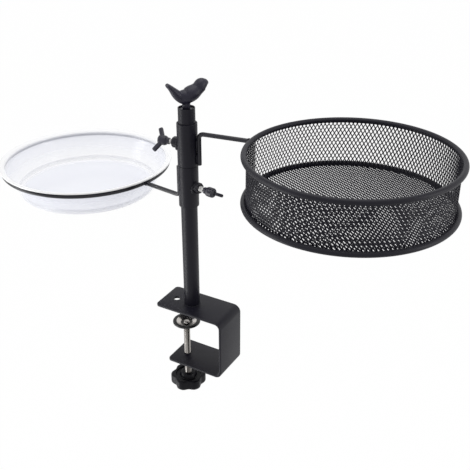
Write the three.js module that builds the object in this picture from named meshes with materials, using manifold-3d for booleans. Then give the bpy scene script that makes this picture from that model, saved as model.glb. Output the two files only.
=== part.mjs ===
// Railing bird bath: a clamp that grips a deck rail carries a pole with a bird finial, and two
// collars that turn on the pole carry a mesh seed basket and a clear water bowl on rod arms.
// Millimetres, +Z up the pole. The origin is on the pole's axis, at the underside of the
// clamp's top plate, which sits on the rail. +X runs along the clamp strip to its back plate.

import * as THREE from 'three';
import { mergeVertices } from 'three/addons/utils/BufferGeometryUtils.js';
import Module from 'manifold-3d';

// Clearance between pieces, and how far a cutting tool reaches past the face that it cuts
const SEAT_GAP = 0.3;
const CUT_PAST = 1;

// Clamp bracket: one steel strip bent into a C
const STRIP_WIDTH = 48;
const STRIP_THICKNESS = 3;
const STRIP_BEND = 6;
const STRIP_CORNER = 5;
const TOP_PLATE_REACH = 37.8;
const LOWER_PLATE_REACH = 23.3;
const BACK_PLATE_REACH = 51.3;
const JAW_HEIGHT = 73.4;
const FIXING_HOLE_DIAMETER = 8.5;
const FIXING_HOLE_REACH = 22;

// Clamp screw, its pressure pad, its weld nut and its star knob
const SCREW_DIAMETER = 8;
const SCREW_REACH = 9;
const SCREW_NECK_DIAMETER = 5;
const RIVET_DIAMETER = 8.5;
const RIVET_HEIGHT = 1.8;
const JAW_OPENING = 25;
const PAD_DIAMETER = 34;
const PAD_RING_WIDTH = 4;
const PAD_DISH_DIAMETER = 14;
const PAD_DISH_DEPTH = 3.4;
const PAD_LIP_DROP = 0.8;
const PAD_THICKNESS = 1.4;
const CLAMP_NUT_WIDTH = 13;
const CLAMP_NUT_HEIGHT = 6.5;
const SCREW_LENGTH = 73.5;
const KNOB_DIAMETER = 44.6;
const KNOB_LOBES = 6;
const KNOB_SCALLOP = 3.4;
const KNOB_HEIGHT = 13;
const KNOB_EDGE = 1.8;
const KNOB_HUB_DIAMETER = 22;
const KNOB_HUB_TOP_DIAMETER = 17.4;
const KNOB_HUB_HEIGHT = 3.5;
const KNOB_RECESS_DIAMETER = 32;
const KNOB_RECESS_DEPTH = 2.5;
const KNOB_SOCKET_DEPTH = 11;
const KNOB_TURN = THREE.MathUtils.degToRad(33);

// Pole, its end cap and the bird
const POLE_DIAMETER = 19;
const POLE_WALL = 1.2;
const POLE_LENGTH = 248.5;
const CAP_RECESS = 1.5;
const CAP_EDGE = 0.8;
const CAP_PLUG_LENGTH = 12;
const CAP_PLUG_WALL = 2;
const CAP_WEB = 4;
const STUD_DIAMETER = 5;
const STUD_LENGTH = 13;
const BIRD_LENGTH = 46.7;
const BIRD_NECK_DIAMETER = 9;
const BIRD_NECK_HEIGHT = 8;
const BIRD_TURN = THREE.MathUtils.degToRad(53);

// Collars, arms and wing screws, alike on the basket's carrier and the bowl's
const COLLAR_WALL = 1.7;
const COLLAR_HEIGHT = 49;
const POLE_ABOVE_COLLARS = 17.2;
const ARM_DIAMETER = 5;
const ARM_BEND = 6;
const BASKET_ARM_REACH = 71.7;
const BOWL_ARM_REACH = 67.4;
const ARM_LEG = 36.4;
const BASKET_ARM_INSET = 11;
const BOWL_ARM_INSET = 8;
const BASKET_TURN = THREE.MathUtils.degToRad(6.3);
const BOWL_TURN = THREE.MathUtils.degToRad(170.9);
const WING_SCREW_DIAMETER = 6;
const WING_NUT_WIDTH = 11;
const WING_NUT_HEIGHT = 6;
const BASKET_THREAD_SHOWN = 4;
const BOWL_THREAD_SHOWN = 6;
const WING_NECK_DIAMETER = 7.4;
const WING_NECK_LENGTH = 3;
const WING_HUB_DIAMETER = 11;
const WING_HUB_EDGE = 2.4;
const WING_DIMPLE_DIAMETER = 4;
const WING_DIMPLE_DEPTH = 1;
const WING_SOCKET_DEPTH = 8;
const WING_LENGTH = 16;
const WING_WIDTH = 5.2;
const WING_THICKNESS = 3.8;
const WING_END = 1.8;
const WING_SPREAD = THREE.MathUtils.degToRad(61);
const BASKET_WING_ROLL = THREE.MathUtils.degToRad(44);
const BOWL_WING_ROLL = THREE.MathUtils.degToRad(60);

// Basket: two rolled rims that hold a wall and a floor of diamond mesh
const RIM_RADIUS = 108;
const RIM_ROLL_DIAMETER = 6;
const BASKET_DEPTH = 51.8;
const WALL_THICKNESS = 0.8;
const WALL_COLUMNS = 48;
const WALL_HALF_ROWS = 4;
const STRAND_WIDTH = 1.8;
const FLOOR_THICKNESS = 0.8;
const FLOOR_HEM = 2;
const FLOOR_DROP = 1.5;

// Bowl and the rod ring that it hangs in
const RING_RADIUS = 104.5;
const RING_ROD_DIAMETER = 4.5;
const BOWL_FLANGE_OVERHANG = 1.8;
const BOWL_FLANGE_RISE = 1.6;
const BOWL_WALL = 1.8;
const BOWL_BASE_RADIUS = 79;
const BOWL_BASE_ROUND = 9;
const BOWL_DEPTH = 34;

// How finely round forms are divided
const POLE_SIDES = 32;
const ROD_SIDES = 10;
const RIM_STEPS = 56;
const RIM_SIDES = 8;
const SCREW_SIDES = 16;
const KNOB_HUB_SIDES = 20;
const KNOB_LOBE_POINTS = 8;
const BEND_STEPS = 8;
const ARM_STEPS = 26;
const WING_END_STEPS = 3;
const BIRD_SIDES = 12;
const BIRD_BODY_RINGS = 16;
const BIRD_TAIL_RINGS = 8;

const steel = { color: 0x2b2b2e, roughness: 0.5, metalness: 0.4 };
const blackCoat = new THREE.MeshStandardMaterial(steel);
const blackPlastic = new THREE.MeshStandardMaterial({ color: 0x1d1d1f, roughness: 0.6, metalness: 0 });
const zinc = new THREE.MeshStandardMaterial({ color: 0xc9c6bf, roughness: 0.3, metalness: 0.9 });
const nickel = new THREE.MeshStandardMaterial({ color: 0xb9b1a6, roughness: 0.2, metalness: 1 });
const clearPlastic = new THREE.MeshStandardMaterial({
  color: 0xeef2f6, roughness: 0.1, metalness: 0, transparent: true, opacity: 0.35,
});

const wasm = await Module();
wasm.setup();

// A closed geometry as a solid that can be cut and joined
function solid(geometry) {
  const bare = geometry.clone();
  bare.deleteAttribute('normal');
  bare.deleteAttribute('uv');
  const merged = mergeVertices(bare, 1e-4);
  const index = merged.index.array;
  const triangles = [];
  for (let i = 0; i < index.length; i += 3) {
    const [a, b, c] = [index[i], index[i + 1], index[i + 2]];
    if (a !== b && b !== c && c !== a) triangles.push(a, b, c);
  }
  const vertProperties = Float32Array.from(merged.attributes.position.array);
  return new wasm.Manifold(
    new wasm.Mesh({ numProp: 3, vertProperties, triVerts: Uint32Array.from(triangles) }),
  );
}

function geometryOf(manifold) {
  const mesh = manifold.getMesh();
  const geometry = new THREE.BufferGeometry();
  geometry.setAttribute('position', new THREE.BufferAttribute(mesh.vertProperties, 3));
  geometry.setIndex(new THREE.BufferAttribute(mesh.triVerts, 1));
  geometry.computeVertexNormals();
  return geometry;
}

function cut(geometry, ...tools) {
  return geometryOf(tools.reduce((body, tool) => body.subtract(solid(tool)), solid(geometry)));
}

function join(geometry, ...others) {
  return geometryOf(others.reduce((body, other) => body.add(solid(other)), solid(geometry)));
}

function piece(parent, name, geometry, material) {
  const mesh = new THREE.Mesh(geometry, material);
  mesh.name = name;
  parent.add(mesh);
}

// A profile of [radius, height] points, turned about Z
function turned(profile, sides) {
  const points = profile.map(([radius, height]) => new THREE.Vector2(radius, height));
  return new THREE.LatheGeometry(points, sides).rotateX(Math.PI / 2);
}

function sleeve(inner, outer, low, high, sides) {
  return turned([[inner, low], [outer, low], [outer, high], [inner, high], [inner, low]], sides);
}

function cylinder(radius, low, high, sides) {
  return turned([[0, low], [radius, low], [radius, high], [0, high]], sides);
}

// A flat outline in X and Y, raised from one height to another
function prism(shape, low, high, curveSegments = 6) {
  const options = { depth: high - low, bevelEnabled: false, curveSegments };
  return new THREE.ExtrudeGeometry(shape, options).translate(0, 0, low);
}

function hexagon(acrossFlats) {
  const radius = acrossFlats / Math.sqrt(3);
  const corners = [...Array(6).keys()].map((k) => {
    const angle = (k * Math.PI) / 3;
    return new THREE.Vector2(radius * Math.cos(angle), radius * Math.sin(angle));
  });
  return new THREE.Shape(corners);
}

// A round rod along a path
function rod(path, diameter, steps) {
  const section = new THREE.Shape().absarc(0, 0, diameter / 2, 0, 2 * Math.PI);
  const options = { steps, curveSegments: ROD_SIDES / 2, bevelEnabled: false, extrudePath: path };
  return new THREE.ExtrudeGeometry(section, options);
}

function ring(radius, sectionDiameter, height) {
  const geometry = new THREE.TorusGeometry(radius, sectionDiameter / 2, RIM_SIDES, RIM_STEPS);
  return geometry.translate(0, 0, height);
}

const root = new THREE.Group();
const poleRadius = POLE_DIAMETER / 2;
const poleTop = STRIP_THICKNESS + POLE_LENGTH;

// Clamp bracket
function clampBracket() {
  const outerBend = STRIP_BEND + STRIP_THICKNESS;
  const bendX = BACK_PLATE_REACH - STRIP_BEND;
  const lowBendZ = -JAW_HEIGHT + STRIP_BEND;
  const base = -JAW_HEIGHT - STRIP_THICKNESS;
  const side = new THREE.Shape();
  side.moveTo(-TOP_PLATE_REACH, STRIP_THICKNESS);
  side.lineTo(bendX, STRIP_THICKNESS);
  side.absarc(bendX, -STRIP_BEND, outerBend, Math.PI / 2, 0, true);
  side.lineTo(BACK_PLATE_REACH + STRIP_THICKNESS, lowBendZ);
  side.absarc(bendX, lowBendZ, outerBend, 0, -Math.PI / 2, true);
  side.lineTo(-LOWER_PLATE_REACH, base);
  side.lineTo(-LOWER_PLATE_REACH, -JAW_HEIGHT);
  side.lineTo(bendX, -JAW_HEIGHT);
  side.absarc(bendX, lowBendZ, STRIP_BEND, -Math.PI / 2, 0, false);
  side.lineTo(BACK_PLATE_REACH, -STRIP_BEND);
  side.absarc(bendX, -STRIP_BEND, STRIP_BEND, 0, Math.PI / 2, false);
  side.lineTo(-TOP_PLATE_REACH, 0);
  side.closePath();
  const strip = prism(side, -STRIP_WIDTH / 2, STRIP_WIDTH / 2, BEND_STEPS).rotateX(Math.PI / 2);

  const cornerCut = (reach, front, low) => {
    const y = (front * STRIP_WIDTH) / 2;
    const inner = y - front * STRIP_CORNER;
    const corner = new THREE.Shape();
    corner.moveTo(-reach - CUT_PAST, y + front * CUT_PAST);
    corner.lineTo(-reach + STRIP_CORNER, y + front * CUT_PAST);
    corner.lineTo(-reach + STRIP_CORNER, y);
    const turn = (front * Math.PI) / 2;
    corner.absarc(-reach + STRIP_CORNER, inner, STRIP_CORNER, turn, front * Math.PI, front < 0);
    corner.lineTo(-reach - CUT_PAST, inner);
    corner.closePath();
    return prism(corner, low - CUT_PAST, low + STRIP_THICKNESS + CUT_PAST);
  };
  const corners = [-1, 1].flatMap((front) => [
    cornerCut(TOP_PLATE_REACH, front, 0),
    cornerCut(LOWER_PLATE_REACH, front, base),
  ]);
  const hole = (radius, reach, low) => {
    const tool = cylinder(radius, low - CUT_PAST, low + STRIP_THICKNESS + CUT_PAST, SCREW_SIDES);
    return tool.translate(-reach, 0, 0);
  };
  const fixingHole = hole(FIXING_HOLE_DIAMETER / 2, FIXING_HOLE_REACH, 0);
  const screwHole = hole(SCREW_DIAMETER / 2 + SEAT_GAP, SCREW_REACH, base);
  return cut(strip, ...corners, fixingHole, screwHole);
}

function clampNut() {
  const top = -JAW_HEIGHT - STRIP_THICKNESS;
  const base = top - CLAMP_NUT_HEIGHT;
  const bore = cylinder(SCREW_DIAMETER / 2 + SEAT_GAP, base - CUT_PAST, top + CUT_PAST, SCREW_SIDES);
  return cut(prism(hexagon(CLAMP_NUT_WIDTH), base, top), bore);
}

piece(root, 'clamp_bracket', clampBracket(), blackCoat);

// The nut, screw, pad and knob share the screw's axis
const screwLine = new THREE.Group();
screwLine.position.x = -SCREW_REACH;
root.add(screwLine);
piece(screwLine, 'clamp_weld_nut', clampNut(), blackCoat);

const padFace = -JAW_OPENING;
const dishFloor = padFace - PAD_DISH_DEPTH;
const padUnderside = dishFloor - PAD_THICKNESS;
const screwEnd = padUnderside - SEAT_GAP - SCREW_LENGTH;
const knobTop = screwEnd;

// A pressed disc: a dished middle round the rivet, a flat gripping ring and a turned-down lip
function clampPad() {
  const hole = SCREW_NECK_DIAMETER / 2 + SEAT_GAP;
  const dish = PAD_DISH_DIAMETER / 2;
  const lip = PAD_DIAMETER / 2;
  const ringOuter = lip - PAD_LIP_DROP;
  const ringInner = lip - PAD_RING_WIDTH;
  return turned([
    [hole, padUnderside],
    [dish, padUnderside],
    [ringInner, padFace - PAD_THICKNESS],
    [ringOuter, padFace - PAD_THICKNESS],
    [lip, padFace - PAD_LIP_DROP - PAD_THICKNESS],
    [lip, padFace - PAD_LIP_DROP],
    [ringOuter, padFace],
    [ringInner, padFace],
    [dish, dishFloor],
    [hole, dishFloor],
    [hole, padUnderside],
  ], POLE_SIDES);
}

// The screw's end is turned down to a neck, passed through the pad and riveted over
function clampScrew() {
  const radius = SCREW_DIAMETER / 2;
  const neck = SCREW_NECK_DIAMETER / 2;
  const rivet = RIVET_DIAMETER / 2;
  const rivetBase = dishFloor + SEAT_GAP;
  return turned([
    [0, knobTop - KNOB_SOCKET_DEPTH + SEAT_GAP],
    [radius, knobTop - KNOB_SOCKET_DEPTH + SEAT_GAP],
    [radius, padUnderside - SEAT_GAP],
    [neck, padUnderside - SEAT_GAP],
    [neck, rivetBase],
    [rivet, rivetBase],
    [rivet * 0.7, rivetBase + RIVET_HEIGHT * 0.8],
    [0, rivetBase + RIVET_HEIGHT],
  ], SCREW_SIDES);
}

// A lobed grip with a tapered hub on top, which stands in a round recess
function starKnob() {
  const count = KNOB_LOBES * KNOB_LOBE_POINTS;
  const outline = [...Array(count).keys()].map((k) => {
    const angle = (k * 2 * Math.PI) / count;
    const dip = (0.5 - 0.5 * Math.cos(KNOB_LOBES * angle)) ** 1.5;
    const radius = KNOB_DIAMETER / 2 - KNOB_EDGE - KNOB_SCALLOP * dip;
    return new THREE.Vector2(radius * Math.cos(angle), radius * Math.sin(angle));
  });
  const star = new THREE.ExtrudeGeometry(new THREE.Shape(outline), {
    depth: KNOB_HEIGHT - 2 * KNOB_EDGE,
    bevelSize: KNOB_EDGE,
    bevelThickness: KNOB_EDGE,
    bevelSegments: 2,
  });
  const starTop = knobTop - KNOB_HUB_HEIGHT;
  star.rotateZ(KNOB_TURN).translate(0, 0, starTop - KNOB_HEIGHT + KNOB_EDGE);
  const hubRadius = KNOB_HUB_DIAMETER / 2;
  const recessFloor = starTop - KNOB_RECESS_DEPTH;
  const recess = sleeve(
    hubRadius, KNOB_RECESS_DIAMETER / 2, recessFloor, starTop + CUT_PAST, KNOB_HUB_SIDES,
  );
  const column = cylinder(hubRadius + CUT_PAST, recessFloor, knobTop + CUT_PAST, KNOB_HUB_SIDES);
  const hub = turned([
    [0, recessFloor - CUT_PAST],
    [hubRadius, recessFloor - CUT_PAST],
    [hubRadius, recessFloor],
    [KNOB_HUB_TOP_DIAMETER / 2, knobTop],
    [0, knobTop],
  ], KNOB_HUB_SIDES);
  const socketRadius = SCREW_DIAMETER / 2 + SEAT_GAP;
  const socket = cylinder(socketRadius, knobTop - KNOB_SOCKET_DEPTH, knobTop + CUT_PAST, SCREW_SIDES);
  return cut(join(cut(cut(star, recess), column), hub), socket);
}

piece(screwLine, 'clamp_pad', clampPad(), nickel);
piece(screwLine, 'clamp_screw', clampScrew(), nickel);
piece(screwLine, 'star_knob', starKnob(), blackPlastic);

// Pole: a tube welded to the top plate, with a plug in its open end and a stud for the bird
const poleInner = poleRadius - POLE_WALL;
const capTop = poleTop - CAP_RECESS;
const studFoot = capTop - CAP_WEB + SEAT_GAP;

// The plug sits a little below the tube's end and is hollow from below
function poleEndCap() {
  const plug = poleInner - SEAT_GAP;
  const bore = STUD_DIAMETER / 2 + SEAT_GAP;
  const web = capTop - CAP_WEB;
  const base = capTop - CAP_PLUG_LENGTH;
  return turned([
    [bore, web],
    [plug - CAP_PLUG_WALL, web],
    [plug - CAP_PLUG_WALL, base],
    [plug, base],
    [plug, capTop - CAP_EDGE],
    [plug - CAP_EDGE, capTop],
    [bore, capTop],
    [bore, web],
  ], POLE_SIDES);
}

const poleTube = sleeve(poleInner, poleRadius, STRIP_THICKNESS, poleTop, POLE_SIDES);
const finialStud = cylinder(STUD_DIAMETER / 2, studFoot, studFoot + STUD_LENGTH, SCREW_SIDES);
piece(root, 'pole_tube', poleTube, blackCoat);
piece(root, 'pole_end_cap', poleEndCap(), blackPlastic);
piece(root, 'finial_stud', finialStud, zinc);

// Ellipses along a spine in the X and Z plane, smoothed between the stations and closed at both ends.
// A station is [x, z, half height, half width].
function loft(stations, rings, sides) {
  const spine = new THREE.CatmullRomCurve3(stations.map(([x, z]) => new THREE.Vector3(x, 0, z)));
  const girth = new THREE.CatmullRomCurve3(
    stations.map(([, , high, wide]) => new THREE.Vector3(high, wide, 0)),
  );
  const positions = [];
  for (let i = 0; i < rings; i += 1) {
    const t = i / (rings - 1);
    const centre = spine.getPoint(t);
    const along = spine.getTangent(t);
    const { x: high, y: wide } = girth.getPoint(t);
    for (let k = 0; k < sides; k += 1) {
      const angle = (k * 2 * Math.PI) / sides;
      const lift = high * Math.sin(angle);
      positions.push(centre.x - along.z * lift, wide * Math.cos(angle), centre.z + along.x * lift);
    }
  }
  const first = positions.length / 3;
  const start = spine.getPoint(0);
  const end = spine.getPoint(1);
  positions.push(start.x, 0, start.z, end.x, 0, end.z);
  const index = [];
  for (let k = 0; k < sides; k += 1) {
    const next = (k + 1) % sides;
    const last = (rings - 1) * sides;
    index.push(first, next, k, first + 1, last + k, last + next);
    for (let i = 0; i < rings - 1; i += 1) {
      const [a, b] = [i * sides + k, i * sides + next];
      index.push(a, b, a + sides, b, b + sides, a + sides);
    }
  }
  const geometry = new THREE.BufferGeometry();
  geometry.setAttribute('position', new THREE.Float32BufferAttribute(positions, 3));
  geometry.setIndex(index);
  return geometry;
}

// The bird: an egg-shaped body that swells into a round head with a small beak, and a raised flat
// tail. Its stations are hundredths of its length, measured from the middle of the pole's top.
function birdFinial() {
  const sized = (stations) => stations.map((station) => station.map((part) => (part * BIRD_LENGTH) / 100));
  const body = loft(sized([
    [-20.5, 32.5, 2, 2], [-14, 30.5, 10.8, 11.5], [0, 26.8, 17.2, 18], [15.4, 32.1, 18.2, 20.6],
    [28.7, 40.3, 14.8, 17.1], [38.1, 48.8, 15.4, 15.4], [48.4, 51.4, 9.4, 9.9], [55.2, 50.1, 1.7, 1.7],
  ]), BIRD_BODY_RINGS, BIRD_SIDES);
  const tail = loft(sized([
    [2.1, 13.5, 8.5, 10], [-10.7, 21.8, 11.4, 12], [-22.7, 33.2, 10.9, 12], [-34.7, 47.3, 7, 11.6],
    [-44.8, 57.4, 4.5, 10.3],
  ]), BIRD_TAIL_RINGS, BIRD_SIDES);
  const foot = SEAT_GAP - CAP_RECESS;
  const neck = cylinder(BIRD_NECK_DIAMETER / 2, foot, foot + BIRD_NECK_HEIGHT, SCREW_SIDES);
  const socketTop = studFoot + STUD_LENGTH + SEAT_GAP - poleTop;
  const socket = cylinder(STUD_DIAMETER / 2 + SEAT_GAP, foot - CUT_PAST, socketTop, SCREW_SIDES);
  const bird = cut(join(body, tail, neck), socket);
  return bird.rotateZ(BIRD_TURN).translate(0, 0, poleTop);
}

piece(root, 'bird_finial', birdFinial(), blackCoat);

// Collar, weld nut, rod arm and wing screw. Each carrier's own +X points along its arm,
// and the wing screw bears on the pole from the other side.
const collarInner = poleRadius + SEAT_GAP;
const collarOuter = collarInner + COLLAR_WALL;
const nutFace = collarOuter + WING_NUT_HEIGHT;

// Turns a piece made along Z to lie along -X, at a height
const layOut = (geometry, height) => geometry.rotateY(-Math.PI / 2).translate(0, 0, height);

function carrierNut(middle) {
  const bore = cylinder(WING_SCREW_DIAMETER / 2 + SEAT_GAP, 0, nutFace + CUT_PAST, SCREW_SIDES);
  const blank = cut(prism(hexagon(WING_NUT_WIDTH), poleRadius, nutFace), bore);
  const low = middle - COLLAR_HEIGHT;
  const saddle = cylinder(collarOuter + SEAT_GAP, low, low + 2 * COLLAR_HEIGHT, POLE_SIDES);
  return cut(layOut(blank, middle), saddle);
}

// The leg lies along the collar, and the rod bends out from it to the tray
function carrierArm(armLevel, legEnd, reach) {
  const legX = collarOuter + SEAT_GAP + ARM_DIAMETER / 2;
  const way = Math.sign(armLevel - legEnd);
  const path = new THREE.CurvePath();
  const legTop = new THREE.Vector3(legX, 0, armLevel - way * ARM_BEND);
  const corner = new THREE.Vector3(legX, 0, armLevel);
  const runStart = new THREE.Vector3(legX + ARM_BEND, 0, armLevel);
  path.add(new THREE.LineCurve3(new THREE.Vector3(legX, 0, legEnd), legTop));
  path.add(new THREE.QuadraticBezierCurve3(legTop, corner, runStart));
  path.add(new THREE.LineCurve3(runStart, new THREE.Vector3(reach, 0, armLevel)));
  return rod(path, ARM_DIAMETER, ARM_STEPS);
}

function wingGrip(middle, gripFace, roll) {
  const socketEnd = gripFace + WING_SOCKET_DEPTH;
  const hubRadius = WING_HUB_DIAMETER / 2;
  const neckEnd = gripFace + WING_NECK_LENGTH;
  const hubCentre = neckEnd + hubRadius;
  const hubEnd = hubCentre + hubRadius;
  const hub = turned([
    [0, gripFace],
    [WING_NECK_DIAMETER / 2, gripFace],
    [WING_NECK_DIAMETER / 2, neckEnd - WING_HUB_EDGE / 2],
    [hubRadius, neckEnd + WING_HUB_EDGE],
    [hubRadius, hubEnd - WING_HUB_EDGE],
    [hubRadius - WING_HUB_EDGE * 0.3, hubEnd - WING_HUB_EDGE * 0.3],
    [hubRadius - WING_HUB_EDGE, hubEnd],
    [WING_DIMPLE_DIAMETER / 2, hubEnd],
    [0, hubEnd - WING_DIMPLE_DEPTH],
  ], SCREW_SIDES);
  const half = WING_WIDTH / 2;
  const outline = new THREE.Shape();
  outline.moveTo(0, -half);
  outline.lineTo(WING_LENGTH - WING_END, -half);
  outline.absarc(WING_LENGTH - WING_END, -half + WING_END, WING_END, -Math.PI / 2, 0, false);
  outline.absarc(WING_LENGTH - WING_END, half - WING_END, WING_END, 0, Math.PI / 2, false);
  outline.lineTo(0, half);
  outline.closePath();
  const wings = [-1, 1].map((sideways) => {
    const wing = prism(outline, -WING_THICKNESS / 2, WING_THICKNESS / 2, WING_END_STEPS);
    wing.rotateX(Math.PI / 2).rotateY(-Math.PI / 2 + sideways * WING_SPREAD);
    return wing.rotateZ(roll).translate(0, 0, hubCentre);
  });
  const socketRadius = WING_SCREW_DIAMETER / 2 + SEAT_GAP;
  const socket = cylinder(socketRadius, gripFace - CUT_PAST, socketEnd, SCREW_SIDES);
  return layOut(cut(join(hub, ...wings), socket), middle);
}

function carrier({ prefix, armName, turn, bottom, armLevel, legEnd, reach, threadShown, wingRoll }) {
  const group = new THREE.Group();
  group.rotation.z = turn;
  root.add(group);
  const middle = bottom + COLLAR_HEIGHT / 2;
  const screwRadius = WING_SCREW_DIAMETER / 2;
  const screwHole = layOut(cylinder(screwRadius + SEAT_GAP, 0, nutFace, SCREW_SIDES), middle);
  const tube = sleeve(collarInner, collarOuter, bottom, bottom + COLLAR_HEIGHT, POLE_SIDES);
  const gripFace = nutFace + threadShown;
  const shankEnd = gripFace + WING_SOCKET_DEPTH - SEAT_GAP;
  piece(group, `${prefix}_collar`, cut(tube, screwHole), blackCoat);
  piece(group, `${prefix}_weld_nut`, carrierNut(middle), blackCoat);
  piece(group, armName, carrierArm(armLevel, legEnd, reach), blackCoat);
  const shank = layOut(cylinder(screwRadius, poleRadius + SEAT_GAP, shankEnd, SCREW_SIDES), middle);
  piece(group, `${prefix}_wing_shank`, shank, zinc);
  piece(group, `${prefix}_wing_grip`, wingGrip(middle, gripFace, wingRoll), blackPlastic);
  return group;
}

const upperBottom = poleTop - POLE_ABOVE_COLLARS - COLLAR_HEIGHT;
const lowerBottom = upperBottom - SEAT_GAP - COLLAR_HEIGHT;
const basketLevel = upperBottom + COLLAR_HEIGHT - BASKET_ARM_INSET;
const bowlLevel = lowerBottom + BOWL_ARM_INSET;
const upperCarrier = carrier({
  prefix: 'upper',
  armName: 'basket_arm',
  turn: BASKET_TURN,
  bottom: upperBottom,
  armLevel: basketLevel,
  legEnd: basketLevel - ARM_LEG,
  reach: BASKET_ARM_REACH,
  threadShown: BASKET_THREAD_SHOWN,
  wingRoll: BASKET_WING_ROLL,
});
const lowerCarrier = carrier({
  prefix: 'lower',
  armName: 'bowl_arm',
  turn: BOWL_TURN,
  bottom: lowerBottom,
  armLevel: bowlLevel,
  legEnd: bowlLevel + ARM_LEG,
  reach: BOWL_ARM_REACH,
  threadShown: BOWL_THREAD_SHOWN,
  wingRoll: BOWL_WING_ROLL,
});

// Moves each side of an outline inwards by its own distance
function inset(corners, distances) {
  const lines = corners.map(([x, y], k) => {
    const [nextX, nextY] = corners[(k + 1) % corners.length];
    const length = Math.hypot(nextX - x, nextY - y);
    const normal = [-(nextY - y) / length, (nextX - x) / length];
    return [...normal, normal[0] * x + normal[1] * y + distances[k]];
  });
  return lines.map(([a, b, c], k) => {
    const [p, q, r] = lines[(k + lines.length - 1) % lines.length];
    const det = a * q - b * p;
    return [(c * q - b * r) / det, (a * r - c * p) / det];
  });
}

// Expanded mesh: each cell is the half of its strands round one opening. Strands have a flat face
// and taper to a ridge behind it. A cell's rim marks its sides that no other cell shares.
function diamondNet(cells, thickness, place) {
  const positions = [];
  const corner = ([x, y], depth) => place(x, y, depth);
  const quad = (a, b, c, d) => positions.push(...a, ...b, ...c, ...a, ...c, ...d);
  for (const { corners, rim } of cells) {
    const hole = inset(corners, corners.map(() => STRAND_WIDTH / 2));
    for (let k = 0; k < corners.length; k += 1) {
      const next = (k + 1) % corners.length;
      const face = [corner(corners[k], 0), corner(corners[next], 0)];
      const edge = [corner(hole[k], 0), corner(hole[next], 0)];
      const ridge = [corner(corners[k], thickness), corner(corners[next], thickness)];
      quad(face[0], face[1], edge[1], edge[0]);
      quad(edge[0], edge[1], ridge[1], ridge[0]);
      if (rim[k]) quad(ridge[0], ridge[1], face[1], face[0]);
    }
  }
  const geometry = new THREE.BufferGeometry();
  geometry.setAttribute('position', new THREE.Float32BufferAttribute(positions, 3));
  return mergeVertices(geometry, 1e-4);
}

// Basket
const rimRoll = RIM_ROLL_DIAMETER / 2;
const wallOuter = RIM_RADIUS - rimRoll - SEAT_GAP;
const wallLow = basketLevel - BASKET_DEPTH;
const cellWidth = (2 * Math.PI * wallOuter) / WALL_COLUMNS;
const cellHalf = BASKET_DEPTH / WALL_HALF_ROWS;
const floorTop = wallLow - FLOOR_DROP;

// Whole diamonds in staggered rows, with half diamonds along the top and bottom edges
function basketWall() {
  const cells = [];
  for (let row = 0; row <= WALL_HALF_ROWS; row += 1) {
    for (let column = 0; column < WALL_COLUMNS; column += 1) {
      const x = (column + (row % 2) / 2) * cellWidth;
      const y = row * cellHalf;
      const left = [x - cellWidth / 2, y];
      const right = [x + cellWidth / 2, y];
      const top = [x, y + cellHalf];
      const bottom = [x, y - cellHalf];
      let corners = [bottom, right, top, left];
      if (row === 0) corners = [left, right, top];
      if (row === WALL_HALF_ROWS) corners = [right, left, bottom];
      const half = corners.length === 3;
      cells.push({ corners, rim: corners.map((_, k) => half && k === 0) });
    }
  }
  return diamondNet(cells, WALL_THICKNESS, (x, y, depth) => {
    const angle = x / wallOuter;
    const radius = wallOuter - depth;
    return [radius * Math.cos(angle), radius * Math.sin(angle), wallLow + y];
  });
}

// A field of the same diamonds, trimmed to a disc and closed by a flat hem. It lies a little below
// the middle of the bottom rim, whose roll gives way by the rise of its first flat side there.
function basketFloor() {
  const radius = RIM_RADIUS - rimRoll + FLOOR_DROP * Math.tan(Math.PI / RIM_SIDES) - SEAT_GAP;
  const columns = Math.ceil(radius / cellWidth) + 1;
  const rows = Math.ceil(radius / cellHalf) + 1;
  const known = new Set();
  const centres = [];
  for (let row = -rows; row <= rows; row += 1) {
    for (let column = -columns; column <= columns; column += 1) {
      known.add(`${2 * column + Math.abs(row % 2)},${row}`);
      centres.push([2 * column + Math.abs(row % 2), row]);
    }
  }
  const beside = [[1, -1], [1, 1], [-1, 1], [-1, -1]];
  const cells = centres.map(([column, row]) => {
    const [x, y] = [(column * cellWidth) / 2, row * cellHalf];
    const corners = [
      [x, y - cellHalf], [x + cellWidth / 2, y], [x, y + cellHalf], [x - cellWidth / 2, y],
    ];
    return { corners, rim: beside.map(([c, r]) => !known.has(`${column + c},${row + r}`)) };
  });
  const field = diamondNet(cells, FLOOR_THICKNESS, (x, y, depth) => [x, y, floorTop - depth]);
  const floorBase = floorTop - FLOOR_THICKNESS;
  const disc = cylinder(radius - FLOOR_HEM / 2, floorBase - CUT_PAST, floorTop + CUT_PAST, RIM_STEPS);
  const hem = sleeve(radius - FLOOR_HEM, radius, floorBase, floorTop, RIM_STEPS);
  return geometryOf(solid(field).intersect(solid(disc)).add(solid(hem)));
}

const basket = new THREE.Group();
basket.position.x = BASKET_ARM_REACH + SEAT_GAP + rimRoll + RIM_RADIUS;
upperCarrier.add(basket);
piece(basket, 'basket_top_rim', ring(RIM_RADIUS, RIM_ROLL_DIAMETER, basketLevel), blackCoat);
piece(basket, 'basket_bottom_rim', ring(RIM_RADIUS, RIM_ROLL_DIAMETER, wallLow), blackCoat);
piece(basket, 'basket_wall_mesh', basketWall(), blackCoat);
piece(basket, 'basket_floor_mesh', basketFloor(), blackCoat);

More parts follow.
